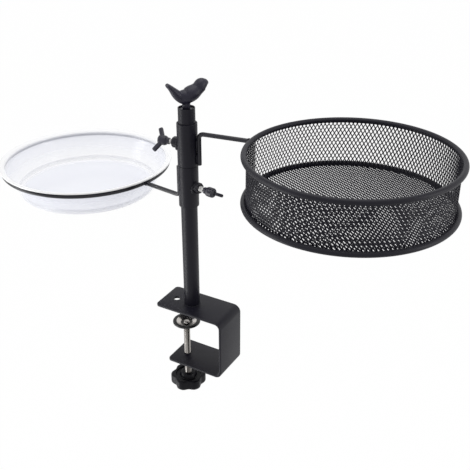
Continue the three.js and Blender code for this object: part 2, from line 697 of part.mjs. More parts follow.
// Bowl: a moulded dish whose flared flange rests on the rod ring
function waterBowl() {
  const ringRod = RING_ROD_DIAMETER / 2;
  const throat = RING_RADIUS - ringRod - SEAT_GAP;
  const flangeBase = ringRod + SEAT_GAP;
  const flangeEdge = RING_RADIUS + ringRod + BOWL_FLANGE_OVERHANG;
  const slant = (ringRod + SEAT_GAP) * Math.SQRT1_2;
  const floor = -BOWL_DEPTH + BOWL_WALL;
  const wallFoot = BOWL_BASE_RADIUS + BOWL_BASE_ROUND;
  const bulge = BOWL_BASE_ROUND * Math.SQRT1_2;
  const innerRound = BOWL_BASE_ROUND - BOWL_WALL;
  const innerBulge = innerRound * Math.SQRT1_2;
  return turned([
    [0, -BOWL_DEPTH],
    [BOWL_BASE_RADIUS, -BOWL_DEPTH],
    [BOWL_BASE_RADIUS + bulge, -BOWL_DEPTH + BOWL_BASE_ROUND - bulge],
    [wallFoot, -BOWL_DEPTH + BOWL_BASE_ROUND],
    [throat, -ringRod],
    [RING_RADIUS - slant - SEAT_GAP, slant + SEAT_GAP],
    [RING_RADIUS, flangeBase],
    [flangeEdge, flangeBase + BOWL_FLANGE_RISE],
    [flangeEdge, flangeBase + BOWL_FLANGE_RISE + BOWL_WALL],
    [RING_RADIUS, flangeBase + BOWL_WALL],
    [RING_RADIUS - slant - BOWL_WALL, slant + BOWL_WALL],
    [throat - BOWL_WALL, -ringRod],
    [wallFoot - BOWL_WALL, -BOWL_DEPTH + BOWL_BASE_ROUND],
    [BOWL_BASE_RADIUS + innerBulge, floor + innerRound - innerBulge],
    [BOWL_BASE_RADIUS, floor],
    [0, floor],
  ], RIM_STEPS).translate(0, 0, bowlLevel);
}

const bowl = new THREE.Group();
bowl.position.x = BOWL_ARM_REACH + SEAT_GAP + RING_ROD_DIAMETER / 2 + RING_RADIUS;
lowerCarrier.add(bowl);
piece(bowl, 'bowl_ring', ring(RING_RADIUS, RING_ROD_DIAMETER, bowlLevel), blackCoat);
piece(bowl, 'water_bowl', waterBowl(), clearPlastic);

export default root;
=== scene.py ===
"""The looks of a railing bird bath: smooth forms, full mesh, threads, welds and finishes.

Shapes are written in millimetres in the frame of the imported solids: +Z runs up the pole, and the
origin lies on the pole's axis at the underside of the clamp's top plate. Meshes are in metres.
"""

import math

import bmesh
import bpy
from mathutils import Matrix, Vector


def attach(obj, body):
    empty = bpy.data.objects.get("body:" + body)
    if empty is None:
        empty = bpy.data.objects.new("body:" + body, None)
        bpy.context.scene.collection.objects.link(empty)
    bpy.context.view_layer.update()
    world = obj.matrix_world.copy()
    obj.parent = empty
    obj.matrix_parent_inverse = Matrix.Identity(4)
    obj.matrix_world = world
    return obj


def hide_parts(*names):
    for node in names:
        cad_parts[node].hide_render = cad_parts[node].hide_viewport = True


MM = 0.001
SEAT_GAP = 0.3

# Clamp strip
STRIP_WIDTH = 48
STRIP_THICKNESS = 3
STRIP_BEND = 6
STRIP_CORNER = 5
STRIP_EDGE = 0.6
TOP_PLATE_REACH = 37.8
LOWER_PLATE_REACH = 23.3
BACK_PLATE_REACH = 51.3
JAW_HEIGHT = 73.4
FIXING_HOLE_RADIUS = 4.25
FIXING_HOLE_REACH = 22

# Clamp screw, pad, nut and knob
SCREW_RADIUS = 4
SCREW_PITCH = 1.25
SCREW_REACH = 9
NECK_RADIUS = 2.5
RIVET_RADIUS = 4.25
RIVET_HEIGHT = 1.8
RIVET_ROOT = 2
JAW_OPENING = 25
PAD_RADIUS = 17
PAD_RING_WIDTH = 4
PAD_DISH_RADIUS = 7
PAD_DISH_DEPTH = 3.4
PAD_LIP_DROP = 0.8
PAD_THICKNESS = 1.4
CLAMP_NUT_WIDTH = 13
CLAMP_NUT_HEIGHT = 6.5
SCREW_LENGTH = 73.5
KNOB_RADIUS = 22.3
KNOB_LOBES = 6
KNOB_SCALLOP = 3.4
KNOB_SCALLOP_SHARPNESS = 1.5
KNOB_HEIGHT = 13
KNOB_HUB_RADIUS = 11
KNOB_HUB_TOP_RADIUS = 8.7
KNOB_HUB_HEIGHT = 3.5
KNOB_RECESS_RADIUS = 16
KNOB_RECESS_DEPTH = 2.5
KNOB_SOCKET_DEPTH = 11
KNOB_FOOT_RADIUS = 13
KNOB_FOOT_DEPTH = 1.5
KNOB_TURN = math.radians(33)

# Nuts, threads and tubes
NUT_CHAMFER_SLOPE = 0.6
NUT_HOLE_BEVEL = 0.4
THREAD_DEPTH_SHARE = 0.55
TUBE_INNER_ROUND = 0.3
TUBE_OUTER_ROUND = 0.4

# Pole, end cap and bird
POLE_RADIUS = 9.5
POLE_WALL = 1.2
POLE_LENGTH = 248.5
CAP_RECESS = 1.5
CAP_PLUG_LENGTH = 12
BIRD_LENGTH = 46.7
BIRD_NECK_RADIUS = 4.5
BIRD_NECK_HEIGHT = 8
BIRD_TURN = math.radians(53)

# Collars, arms and wing screws
COLLAR_WALL = 1.7
COLLAR_HEIGHT = 49
POLE_ABOVE_COLLARS = 17.2
ARM_RADIUS = 2.5
ARM_BEND = 6
BASKET_ARM_REACH = 71.7
BOWL_ARM_REACH = 67.4
ARM_LEG = 36.4
ARM_BEVEL = 0.4
ARM_IN_WELD = 1.2
BASKET_ARM_INSET = 11
BOWL_ARM_INSET = 8
BASKET_TURN = math.radians(6.3)
BOWL_TURN = math.radians(170.9)
WING_SCREW_RADIUS = 3
WING_SCREW_PITCH = 1
WING_NUT_WIDTH = 11
WING_NUT_HEIGHT = 6
WING_NUT_SHORT = 0.5
BASKET_THREAD_SHOWN = 4
BOWL_THREAD_SHOWN = 6
WING_SOCKET_DEPTH = 8
WING_NECK_RADIUS = 3.7
WING_NECK_LENGTH = 3
WING_HUB_RADIUS = 5.5
WING_HUB_SHOULDER = 1.8
WING_HUB_ROUND = 2.6
WING_DIMPLE_RADIUS = 2.5
WING_DIMPLE_DEPTH = 1.8
WING_LENGTH = 16
WING_WIDTH = 5.2
WING_THICKNESS = 3.8
WING_END = 1.8
WING_SPREAD = math.radians(61)
BASKET_WING_ROLL = math.radians(44)
BOWL_WING_ROLL = math.radians(60)

# Welds
WELD_STAND_OFF = 0.2
WELD_RIPPLE = 0.14
WELD_RIPPLE_TURN = 2.1
STITCH_WIDTH = 1.1
STITCH_SPACING = 0.9
STITCH_STARTS = (2, 18.4)
STITCH_ASIDE = 2.2
STITCH_BEHIND = 2
RIM_WELD_LENGTH = 2.2
RIM_WELD_RISE = 0.7
RIM_WELD_START = 1.4
NUT_WELD_WIDTH = 1.7
NUT_WELD_SAG = 0.5
NUT_WELD_RIPPLE = 0.15
NUT_WELD_HALF_WIDTH = 5.6
NUT_WELD_HALF_HEIGHT = 6
NUT_WELD_DROP = 0.8
CLAMP_NUT_WELD = 1.1
POLE_WELD = 0.7
RING_WELD_RIPPLES = 20
RING_WELD_DRIFT = 0.06

# Basket
RIM_RADIUS = 108
RIM_ROLL = 3
BASKET_DEPTH = 51.8
WALL_RADIUS = 105.2
WALL_COLUMNS = 148
WALL_HALF_ROWS = 14
WALL_HALF_CELL = 3.837
WALL_THICKNESS = 0.35
WALL_STRAND = 1.16
WALL_LEAN = 0.22
WALL_HEM = 0.8
SEAM_COLUMNS = 8
SEAM_FIRST = -1.8
SEAM_STEP = 0.9
FLAT_COLUMNS = 6
FLAT_FIRST = -9
FLOOR_CELL_LONG = 8.02
FLOOR_CELL_SHORT = 4.665
FLOOR_TURN = math.radians(122.4)
FLOOR_THICKNESS = 0.3
FLOOR_STRAND = 1.48
FLOOR_LEAN = 0.7
FLOOR_BENDS = (0, 0.2, 0.8)
FLOOR_SEEN_RADIUS = 105.4
FLOOR_RADIUS = 107.5
FLOOR_DROP = 1.9
LEAN_RUN = 0.5

# Bowl and its ring
RING_RADIUS = 104.5
RING_ROD = 2.25
BOWL_FLANGE_OVERHANG = 1.8
BOWL_FLANGE_RISE = 1.6
BOWL_WALL = 1.8
BOWL_BASE_RADIUS = 79
BOWL_BASE_ROUND = 9
BOWL_HEEL_ROUND = 6
BOWL_THROAT_ROUND = 3
BOWL_DEPTH = 34

# Heights and radii that follow from these sizes
POLE_TOP = STRIP_THICKNESS + POLE_LENGTH
CAP_TOP = POLE_TOP - CAP_RECESS
PAD_FACE = -JAW_OPENING
DISH_FLOOR = PAD_FACE - PAD_DISH_DEPTH
PAD_UNDERSIDE = DISH_FLOOR - PAD_THICKNESS
KNOB_TOP = PAD_UNDERSIDE - SEAT_GAP - SCREW_LENGTH
COLLAR_INNER = POLE_RADIUS + SEAT_GAP
COLLAR_OUTER = COLLAR_INNER + COLLAR_WALL
NUT_FACE = COLLAR_OUTER + WING_NUT_HEIGHT
UPPER_BOTTOM = POLE_TOP - POLE_ABOVE_COLLARS - COLLAR_HEIGHT
LOWER_BOTTOM = UPPER_BOTTOM - SEAT_GAP - COLLAR_HEIGHT
BASKET_LEVEL = UPPER_BOTTOM + COLLAR_HEIGHT - BASKET_ARM_INSET
BOWL_LEVEL = LOWER_BOTTOM + BOWL_ARM_INSET
BASKET_REACH = BASKET_ARM_REACH + SEAT_GAP + RIM_ROLL + RIM_RADIUS
BOWL_REACH = BOWL_ARM_REACH + SEAT_GAP + RING_ROD + RING_RADIUS
LEG_REACH = COLLAR_OUTER + SEAT_GAP + ARM_RADIUS
BASKET_FOOT = BASKET_LEVEL - BASKET_DEPTH
WALL_GIRTH = 2 * math.pi * WALL_RADIUS
WALL_COLUMN_WIDTH = WALL_GIRTH / WALL_COLUMNS
PAD_RING_INNER = PAD_RADIUS - PAD_RING_WIDTH
BOWL_BASE = BOWL_LEVEL - BOWL_DEPTH

# How finely forms are divided
ROUND_SIDES = 64
RIM_STEPS = 192
ROD_SIDES = 24
NUT_SIDES = 72
PAD_SIDES = 96
LOBE_SIDES = 24
WING_SIDES = 32
WELD_SIDES = 12
NUT_WELD_SIDES = 14
RING_WELD_STEPS = 64
NUT_WELD_STEPS = 36
STITCH_STEPS = 12
BEND_STEPS = 12
END_STEPS = 8
CORNER_STEPS = 5
THREAD_SIDES = 36
THREAD_ROWS = 6
BIRD_GRAIN = 0.5
BIRD_ROUNDING = 10
GRIP_GRAIN = 0.25
GRIP_ROUNDING = 4
CREASE = math.radians(38)
MERGE_DISTANCE = 0.002

# Camera, fitted to the photograph's frame of 470 by 470 pixels
IMAGE_SIZE = 470
FOCAL_PIXELS = 764.07
AXIS_PIXEL = 195
SENSOR_WIDTH = 36
CAMERA_PLACE = (430.59, -660.10, 511.34)
CAMERA_PITCH = math.radians(27.760)
CAMERA_ROLL = math.radians(1.512)
CAMERA_HEADING = math.radians(33.116 - 0.413)
CAMERA_NEAR = 10

# Studio. A lamp is a name, a place and a size in metres, and a power in watts
STUDIO_FLOOR_LEVEL = -900
STUDIO_FLOOR_SIZE = 16000
STUDIO_FLOOR_PAINT = (0.9, 0.9, 0.9, 1)
STUDIO_FLOOR_GLOW = 0.99
STUDIO_FLOOR_IN_MIRRORS = 0.85
WHITE = (1, 1, 1, 1)
ROOM_LIGHT = 0.6
LAMP_TARGET = (0, 0, 0.12)
LAMPS = (
    ("overhead_softbox", (0.0, 0.1, 1.7), (1.4, 1.4), 10),
    ("left_strip", (-1.3, -0.7, 0.5), (0.4, 1.4), 6),
    ("right_strip", (1.5, 0.3, 0.4), (0.4, 1.4), 6),
    ("low_strip", (-0.79, -0.62, -0.39), (0.35, 1.0), 5),
)

# Tones of the finishes, with the painted reflections on the clamp pad and the painted highlight on the bowl's
# flange, and how milky the clear plastic is
BLACK_TINT = (1.05, 0.95, 2)
COAT_CLOUDS_PER_METRE = 45
PLATE_CLOUDS_PER_METRE = 160
PLATE_WARMTH = 0.05
# Painted reflections on the clamp pad: a bright one on its slope, dark ones in its dish and round its edge
PAD_SLOPE_HIGHLIGHT_TONES = (0.44, 0.58)
PAD_DISH_SHADE_TONE = 0.03
PAD_EDGE_SHADE_TONE = 0.05
PAD_SLOPE_BLEND = 1
PAD_EDGE_START = 0.8
PAD_EDGE_END = 0.4
CLEAR_WAVES_PER_METRE = 30
CLEAR_INDEX = 1.49
CLEAR_COLOUR = (0.87, 0.885, 0.965, 1)
# Near white along the flange: a painted highlight where its top catches the overhead light
FLANGE_HIGHLIGHT_COLOUR = (0.985, 0.987, 0.995, 1)
BASE_MILK = 0.40
HEEL_MILK = 0.06
WALL_MILK = 0.36
FLANGE_MILK = 0.55

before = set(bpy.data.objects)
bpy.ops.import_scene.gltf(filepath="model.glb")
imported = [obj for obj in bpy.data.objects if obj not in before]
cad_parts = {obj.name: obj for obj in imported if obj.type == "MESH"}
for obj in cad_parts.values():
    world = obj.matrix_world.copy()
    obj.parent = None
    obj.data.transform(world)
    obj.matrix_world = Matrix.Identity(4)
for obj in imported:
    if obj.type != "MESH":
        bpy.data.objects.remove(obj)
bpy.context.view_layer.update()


class Value:
    """A socket in a node tree. Arithmetic on it adds Math nodes."""

    def __init__(self, nodes, socket):
        self.nodes = nodes
        self.socket = socket

    def math(self, operation, first, second):
        return self.nodes.add("ShaderNodeMath", {"operation": operation}, {0: first, 1: second})

    def __add__(self, other):
        return self.math("ADD", self, other)

    def __sub__(self, other):
        return self.math("SUBTRACT", self, other)

    def __rsub__(self, other):
        return self.math("SUBTRACT", other, self)

    def __mul__(self, other):
        return self.math("MULTIPLY", self, other)

    __radd__ = __add__
    __rmul__ = __mul__


class Nodes:
    """A node tree, and the one way to add a node to it."""

    def __init__(self, tree):
        self.tree = tree
        tree.nodes.clear()

    def add(self, kind, settings=None, sockets=None, output=0):
        node = self.tree.nodes.new(kind)
        for name, setting in (settings or {}).items():
            setattr(node, name, setting)
        for name, value in (sockets or {}).items():
            if isinstance(value, Value):
                self.tree.links.new(value.socket, node.inputs[name])
            else:
                node.inputs[name].default_value = value
        if node.outputs:
            return Value(self, node.outputs[output])
        return None

    def mix_colours(self, factor, first, second):
        sockets = {0: factor, 6: first, 7: second}
        return self.add("ShaderNodeMix", {"data_type": "RGBA"}, sockets, output=2)

    def noise(self, place, scale, detail=2):
        return self.add("ShaderNodeTexNoise", {}, {"Vector": place, "Scale": scale, "Detail": detail})

    def vector_math(self, operation, sockets, output="Vector"):
        return self.add("ShaderNodeVectorMath", {"operation": operation}, sockets, output)

    def rise(self, value, low, high):
        """Goes from 0 to 1 while a length goes from low to high, which are in millimetres."""
        sockets = {"Value": value, "From Min": low * MM, "From Max": high * MM}
        return self.add("ShaderNodeMapRange", {}, sockets)


def grey(level, warmth=0.0):
    return (level * (1 + warmth), level, level * (1 - warmth), 1)


def blue_black(level):
    return tuple(level * share for share in BLACK_TINT) + (1,)


def new_finish(name):
    material = bpy.data.materials.new(name)
    material.use_nodes = True
    return material, Nodes(material.node_tree)


def black_finish(name, tones, roughness, gloss, grain, grain_depth):
    """A black skin with cloudy tone and a fine raised grain. Grain counts bumps per metre."""
    material, nodes = new_finish(name)
    place = nodes.add("ShaderNodeTexCoord", output="Object")
    clouds = nodes.noise(place, COAT_CLOUDS_PER_METRE, detail=4)
    peel = nodes.noise(place, grain)
    specks = nodes.noise(place, grain * 3, detail=1)
    dark, light = [blue_black(tone) for tone in tones]
    colour = nodes.mix_colours(clouds * 0.6 + specks * 0.4, dark, light)
    bump = nodes.add("ShaderNodeBump", {}, {
        "Strength": 0.5, "Distance": grain_depth, "Height": peel * 0.7 + specks * 0.3,
    })
    shader = nodes.add("ShaderNodeBsdfPrincipled", {}, {
        "Base Color": colour,
        "Roughness": roughness - 0.08 + clouds * 0.10 + peel * 0.08,
        "Specular IOR Level": gloss,
        "Normal": bump,
    })
    nodes.add("ShaderNodeOutputMaterial", {}, {"Surface": shader})
    return material


def plated_finish(name, tones, warmth, roughness, marks_per_metre):
    """Plated metal with fine turning marks, which are counted along X, Y and Z."""
    material, nodes = new_finish(name)
    place = nodes.add("ShaderNodeTexCoord", output="Object")
    stretched = nodes.add("ShaderNodeMapping", {}, {"Vector": place, "Scale": marks_per_metre})
    marks = nodes.noise(stretched, 1, detail=3)
    clouds = nodes.noise(place, PLATE_CLOUDS_PER_METRE, detail=3)
    dark, light = [grey(tone, warmth) for tone in tones]
    bump = nodes.add("ShaderNodeBump", {}, {
        "Strength": 0.15, "Distance": 0.00003, "Height": marks,
    })
    shader = nodes.add("ShaderNodeBsdfPrincipled", {}, {
        "Base Color": nodes.mix_colours(clouds * 0.5 + marks * 0.5, dark, light),
        "Metallic": 1.0,
        "Roughness": roughness - 0.08 + marks * 0.12 + clouds * 0.08,
        "Normal": bump,
    })
    nodes.add("ShaderNodeOutputMaterial", {}, {"Surface": shader})
    return material


def pad_painted_reflections_finish():
    """The pad's plate with painted reflections: a painted dark reflection in the dish, a painted bright
    reflection on its slope and a painted black reflection round the edge.
    """
    material, nodes = new_finish("nickel_pad_painted_reflections")
    place = nodes.add("ShaderNodeTexCoord", output="Object")
    from_axis = nodes.vector_math("ADD", {0: place, 1: (SCREW_REACH * MM, 0, 0)})
    flat = nodes.vector_math("MULTIPLY", {0: from_axis, 1: (1, 1, 0)})
    radius = nodes.vector_math("LENGTH", {0: flat}, output="Value")
    clouds = nodes.noise(place, PLATE_CLOUDS_PER_METRE, detail=3)
    # The slope's bright cloudy tones are a painted reflection of the lit room
    dark, light = [grey(tone, PLATE_WARMTH) for tone in PAD_SLOPE_HIGHLIGHT_TONES]
    slope = nodes.rise(radius, PAD_DISH_RADIUS, PAD_DISH_RADIUS + PAD_SLOPE_BLEND)
    # The dish's dark tone is a painted reflection of the black plate above it
    dish = nodes.mix_colours(slope, grey(PAD_DISH_SHADE_TONE, PLATE_WARMTH), nodes.mix_colours(clouds, dark, light))
    # The black ring round the edge is a painted dark reflection, and it is rougher there
    edge = nodes.rise(radius, PAD_RING_INNER - PAD_EDGE_START, PAD_RING_INNER - PAD_EDGE_END)
    shader = nodes.add("ShaderNodeBsdfPrincipled", {}, {
        "Base Color": nodes.mix_colours(edge, dish, grey(PAD_EDGE_SHADE_TONE)),
        "Metallic": 1.0,
        "Roughness": 0.14 + clouds * 0.06 + edge * 0.2,
    })
    nodes.add("ShaderNodeOutputMaterial", {}, {"Surface": shader})
    return material


def clear_finish():
    """Clear moulded plastic with a slight waviness, clearest at its heel and milkiest in its flange, whose
    near-white colour is a painted highlight.
    """
    material, nodes = new_finish("clear_moulded_plastic")
    place = nodes.add("ShaderNodeTexCoord", output="Object")
    waves = nodes.noise(place, CLEAR_WAVES_PER_METRE)
    bump = nodes.add("ShaderNodeBump", {}, {"Strength": 0.15, "Distance": 0.0004, "Height": waves})
    height = nodes.add("ShaderNodeSeparateXYZ", {}, {"Vector": place}, output="Z")
    heel = nodes.rise(height, BOWL_BASE + BOWL_WALL, BOWL_BASE + 2 * BOWL_WALL)
    wall = nodes.rise(height, BOWL_BASE + 2 * BOWL_WALL, BOWL_LEVEL - RING_ROD)
    flange = nodes.rise(height, BOWL_LEVEL, BOWL_LEVEL + 2 * RING_ROD)
    low_milk = (1 - heel) * BASE_MILK + heel * HEEL_MILK
    shader = nodes.add("ShaderNodeBsdfPrincipled", {}, {
        # The flange's near-white colour is a painted highlight
        "Base Color": nodes.mix_colours(flange, CLEAR_COLOUR, FLANGE_HIGHLIGHT_COLOUR),
        "Roughness": 0.10 + waves * 0.05,
        "IOR": CLEAR_INDEX,
        "Alpha": low_milk + wall * WALL_MILK + flange * FLANGE_MILK,
        "Normal": bump,
    })
    nodes.add("ShaderNodeOutputMaterial", {}, {"Surface": shader})
    return material


POWDER_COAT = black_finish(
    "black_powder_coat", tones=(0.003, 0.007), roughness=0.42, gloss=0.23, grain=1500, grain_depth=0.00006)
ROD_COAT = black_finish(
    "black_rod_coat", tones=(0.003, 0.007), roughness=0.33, gloss=0.42, grain=1500, grain_depth=0.00004)
MESH_COAT = black_finish(
    "black_mesh_coat", tones=(0.003, 0.007), roughness=0.45, gloss=0.18, grain=1500, grain_depth=0.00003)
CAST_COAT = black_finish(
    "black_cast_coat", tones=(0.005, 0.018), roughness=0.40, gloss=0.30, grain=420, grain_depth=0.0004)
BLACK_PLASTIC = black_finish(
    "black_moulded_plastic", tones=(0.0015, 0.003), roughness=0.36, gloss=0.14, grain=2200,
    grain_depth=0.00005)
GRIP_PLASTIC = black_finish(
    "black_grip_plastic", tones=(0.008, 0.016), roughness=0.34, gloss=0.4, grain=2200, grain_depth=0.00004)
ZINC = plated_finish(
    "zinc_plate", tones=(0.56, 0.74), warmth=0.01, roughness=0.26, marks_per_metre=(900, 900, 900))
NICKEL = plated_finish(
    "nickel_plate", tones=(0.28, 0.40), warmth=PLATE_WARMTH, roughness=0.2, marks_per_metre=(250, 250, 2500))
# The clamp pad's finish, with its painted reflections
NICKEL_PAD_PAINTED_REFLECTIONS = pad_painted_reflections_finish()
CLEAR_PLASTIC = clear_finish()


def ring_faces(rows, sides, closed=False):
    """Faces between neighbouring rows of points, where each row goes once round."""
    faces = []
    for row in range(rows if closed else rows - 1):
        low = row * sides
        high = ((row + 1) % rows) * sides
        for side in range(sides):
            beside = (side + 1) % sides
            faces.append((low + side, low + beside, high + beside, high + side))
    return faces


def capped(points, sides):
    """Joins rows of points, each of them once round, into a bar with a face over each end."""
    faces = ring_faces(len(points) // sides, sides)
    faces.append(tuple(reversed(range(sides))))
    faces.append(tuple(range(len(points) - sides, len(points))))
    return points, faces


def once_round(count):
    """Evenly spaced angles."""
    return [2 * math.pi * k / count for k in range(count)]


def softened(corners):
    """A line of (across, along, round) corners, with each corner rounded off by its last value."""
    points = []
    for k, (across, along, size) in enumerate(corners):
        corner = Vector((across, along))
        if size == 0:
            points.append(corner)
            continue
        before = Vector(corners[k - 1][:2]) - corner
        after = Vector(corners[(k + 1) % len(corners)][:2]) - corner
        start = corner + before.normalized() * size
        end = corner + after.normalized() * size
        for step in range(CORNER_STEPS + 1):
            t = step / CORNER_STEPS
            points.append(start * (1 - t) ** 2 + corner * 2 * t * (1 - t) + end * t ** 2)
    return points


def turned(profile, sides=ROUND_SIDES, outline=None, closed=False):
    """A profile of (radius, height) points turned about Z. An outline may change the radius."""
    points = []
    for radius, height in profile:
        for angle in once_round(sides):
            reach = outline(angle, radius) if outline else radius
            points.append((reach * math.cos(angle), reach * math.sin(angle), height))
    return points, ring_faces(len(profile), sides, closed)


def swept(path, radii, reference, sides=ROD_SIDES):
    """A round bar along a path. The reference direction keeps its section from twisting."""
    points = []
    for k, place in enumerate(path):
        ahead = Vector(path[min(k + 1, len(path) - 1)])
        behind = Vector(path[max(k - 1, 0)])
        along = (ahead - behind).normalized()
        across = Vector(reference).cross(along).normalized()
        up = along.cross(across)
        for angle in once_round(sides):
            offset = across * math.cos(angle) + up * math.sin(angle)
            points.append(Vector(place) + offset * radii[k])
    return capped(points, sides)


def hoop(radius, thick, height, sides=ROD_SIDES):
    """A round bar bent into a ring."""
    section = []
    for angle in once_round(sides):
        section.append((radius + thick * math.cos(angle), height + thick * math.sin(angle)))
    return turned(section, RIM_STEPS, closed=True)


def moved(shape, matrix):
    points, faces = shape
    return [matrix @ Vector(point) for point in points], faces


def together(*shapes):
    points = []
    faces = []
    for more_points, more_faces in shapes:
        first = len(points)
        points.extend(more_points)
        faces.extend(tuple(first + corner for corner in face) for face in more_faces)
    return points, faces


def smooth_shaded(mesh):
    mesh.shade_smooth()
    mesh.set_sharp_from_angle(angle=CREASE)


def mesh_of(name, shape):
    points, faces = shape
    mesh = bpy.data.meshes.new(name)
    mesh.from_pydata([Vector(point) * MM for point in points], [], faces)
    work = bmesh.new()
    work.from_mesh(mesh)
    bmesh.ops.remove_doubles(work, verts=work.verts, dist=MERGE_DISTANCE * MM)
    bmesh.ops.recalc_face_normals(work, faces=work.faces)
    work.to_mesh(mesh)
    work.free()
    smooth_shaded(mesh)
    return mesh


def place_in_scene(name, data):
    item = bpy.data.objects.new(name, data)
    bpy.context.scene.collection.objects.link(item)
    return item


def add_object(name, shape):
    return place_in_scene(name, mesh_of(name, shape))


def paint(piece, finish):
    piece.data.materials.clear()
    piece.data.materials.append(finish)


def dress(piece, finish, body, slot, *nodes):
    """Gives a piece its finish and the body that it rides on, and hides the nodes that it stands for."""
    paint(piece, finish)
    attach(piece, body)
    if nodes:
        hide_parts(*nodes)


def show(name, shape, finish, body, slot, *nodes):
    dress(add_object(name, shape), finish, body, slot, *nodes)


def settle(piece):
    """Keeps what a piece's modifiers make of it as its own mesh."""
    depsgraph = bpy.context.evaluated_depsgraph_get()
    finished = bpy.data.meshes.new_from_object(piece.evaluated_get(depsgraph))
    piece.modifiers.clear()
    piece.data = finished
    smooth_shaded(finished)


def bore(piece, shapes):
    """Cuts closed shapes out of a piece."""
    cutters = []
    for shape in shapes:
        cutter = add_object("cutter", shape)
        cut = piece.modifiers.new("cut", "BOOLEAN")
        cut.object = cutter
        cut.solver = "EXACT"
        cutters.append(cutter)
    settle(piece)
    for cutter in cutters:
        bpy.data.objects.remove(cutter)


def melt(piece, grain, passes):
    """Joins what overlaps in a piece and rounds its edges, as moulding or casting does."""
    remesh = piece.modifiers.new("remesh", "REMESH")
    remesh.mode = "VOXEL"
    remesh.voxel_size = grain * MM
    rounding = piece.modifiers.new("rounding", "SMOOTH")
    rounding.factor = 0.5
    rounding.iterations = passes
    settle(piece)


def hexagon(across_flats):
    """The outline of a nut: what a turned blank keeps inside six flats."""
    def outline(angle, radius):
        from_flat = (angle + math.pi / 6) % (math.pi / 3) - math.pi / 6
        return min(radius, across_flats / 2 / math.cos(from_flat))
    return outline


def nut(across_flats, hole, low, high):
    corner = across_flats / math.sqrt(3)
    chamfer = corner - across_flats / 2
    rise = NUT_CHAMFER_SLOPE * chamfer
    profile = [
        (hole, low), (across_flats / 2, low), (corner, low + rise), (corner, high - rise),
        (across_flats / 2, high), (hole + NUT_HOLE_BEVEL, high), (hole, high - NUT_HOLE_BEVEL), (hole, low),
    ]
    return turned(profile, NUT_SIDES, hexagon(across_flats))


def thread(radius, pitch, low, high):
    """A right-handed screw thread along Z, with its ends turned down. Its crest and its root are
    each flat for a sixth of the pitch."""
    depth = THREAD_DEPTH_SHARE * pitch
    rows = math.ceil((high - low) / pitch * THREAD_ROWS)
    points = []
    for row in range(rows + 1):
        height = low + (high - low) * row / rows
        lead = min(height - low, high - height) / pitch
        for angle in once_round(THREAD_SIDES):
            phase = (height / pitch - angle / (2 * math.pi)) % 1
            flank = min(max(abs(2 * phase - 1) * 1.5 - 0.25, 0), 1)
            reach = radius - depth * max(flank, 1 - lead)
            points.append((reach * math.cos(angle), reach * math.sin(angle), height))
    return capped(points, THREAD_SIDES)


def bead(path, width, reference):
    """A weld bead: ripples along a path, with tapered ends."""
    last = len(path) - 1
    radii = []
    for k in range(len(path)):
        from_end = min(k, last - k) / last
        ripple = 1 - WELD_RIPPLE + WELD_RIPPLE * math.cos(WELD_RIPPLE_TURN * k)
        radii.append(width * ripple * min(1, 0.25 + 4 * from_end))
    return swept(path, radii, reference, WELD_SIDES)


def ring_weld(radius, width, height):
    """A rippled bead all the way round the Z axis."""
    points = []
    for angle in once_round(RING_WELD_STEPS):
        ripple = WELD_RIPPLE * math.cos(RING_WELD_RIPPLES * angle)
        size = width * (1 - WELD_RIPPLE + ripple + RING_WELD_DRIFT * math.sin(3 * angle))
        for turn in once_round(WELD_SIDES):
            reach = radius + size * math.cos(turn)
            points.append((reach * math.cos(angle), reach * math.sin(angle), height + size * math.sin(turn)))
    return points, ring_faces(RING_WELD_STEPS, WELD_SIDES, closed=True)


def clamp_strip():
    """The bent strip, as rounded sections along its middle line."""
    middle = STRIP_THICKNESS / 2
    turn = STRIP_BEND + middle
    bend_x = BACK_PLATE_REACH - STRIP_BEND
    low_bend = STRIP_BEND - JAW_HEIGHT
    ends = []
    for step in range(END_STEPS + 1):
        ends.append(STRIP_CORNER * (1 - math.cos(math.pi / 2 * step / END_STEPS)))
    stations = [(end - TOP_PLATE_REACH, middle, 0, end) for end in ends]
    for bend_z, start in ((-STRIP_BEND, 90), (low_bend, 0)):
        for step in range(BEND_STEPS + 1):
            angle = math.radians(start - 90 * step / BEND_STEPS)
            x = bend_x + turn * math.cos(angle)
            z = bend_z + turn * math.sin(angle)
            stations.append((x, z, angle - math.pi / 2, STRIP_CORNER))
    foot = -JAW_HEIGHT - middle
    stations += [(end - LOWER_PLATE_REACH, foot, -math.pi, end) for end in reversed(ends)]

    points = []
    corners = [(1, 1), (-1, 1), (-1, -1), (1, -1)]
    for x, z, heading, end in stations:
        short = STRIP_CORNER - end
        width = STRIP_WIDTH / 2 - STRIP_CORNER + math.sqrt(STRIP_CORNER ** 2 - short ** 2)
        lost = max(STRIP_EDGE - end, 0)
        depth = middle - STRIP_EDGE + math.sqrt(STRIP_EDGE ** 2 - lost ** 2)
        for quarter, (side, up) in enumerate(corners):
            for step in range(CORNER_STEPS):
                angle = (quarter + step / (CORNER_STEPS - 1)) * math.pi / 2
                across = side * (width - STRIP_EDGE) + STRIP_EDGE * math.cos(angle)
                through = up * max(depth - STRIP_EDGE, 0) + STRIP_EDGE * math.sin(angle)
                points.append((x - math.sin(heading) * through, across, z + math.cos(heading) * through))
    return capped(points, len(corners) * CORNER_STEPS)


def peg(radius, low, high, reach):
    shape = turned([(0, low), (radius, low), (radius, high), (0, high)])
    return moved(shape, Matrix.Translation((-reach, 0, 0)))


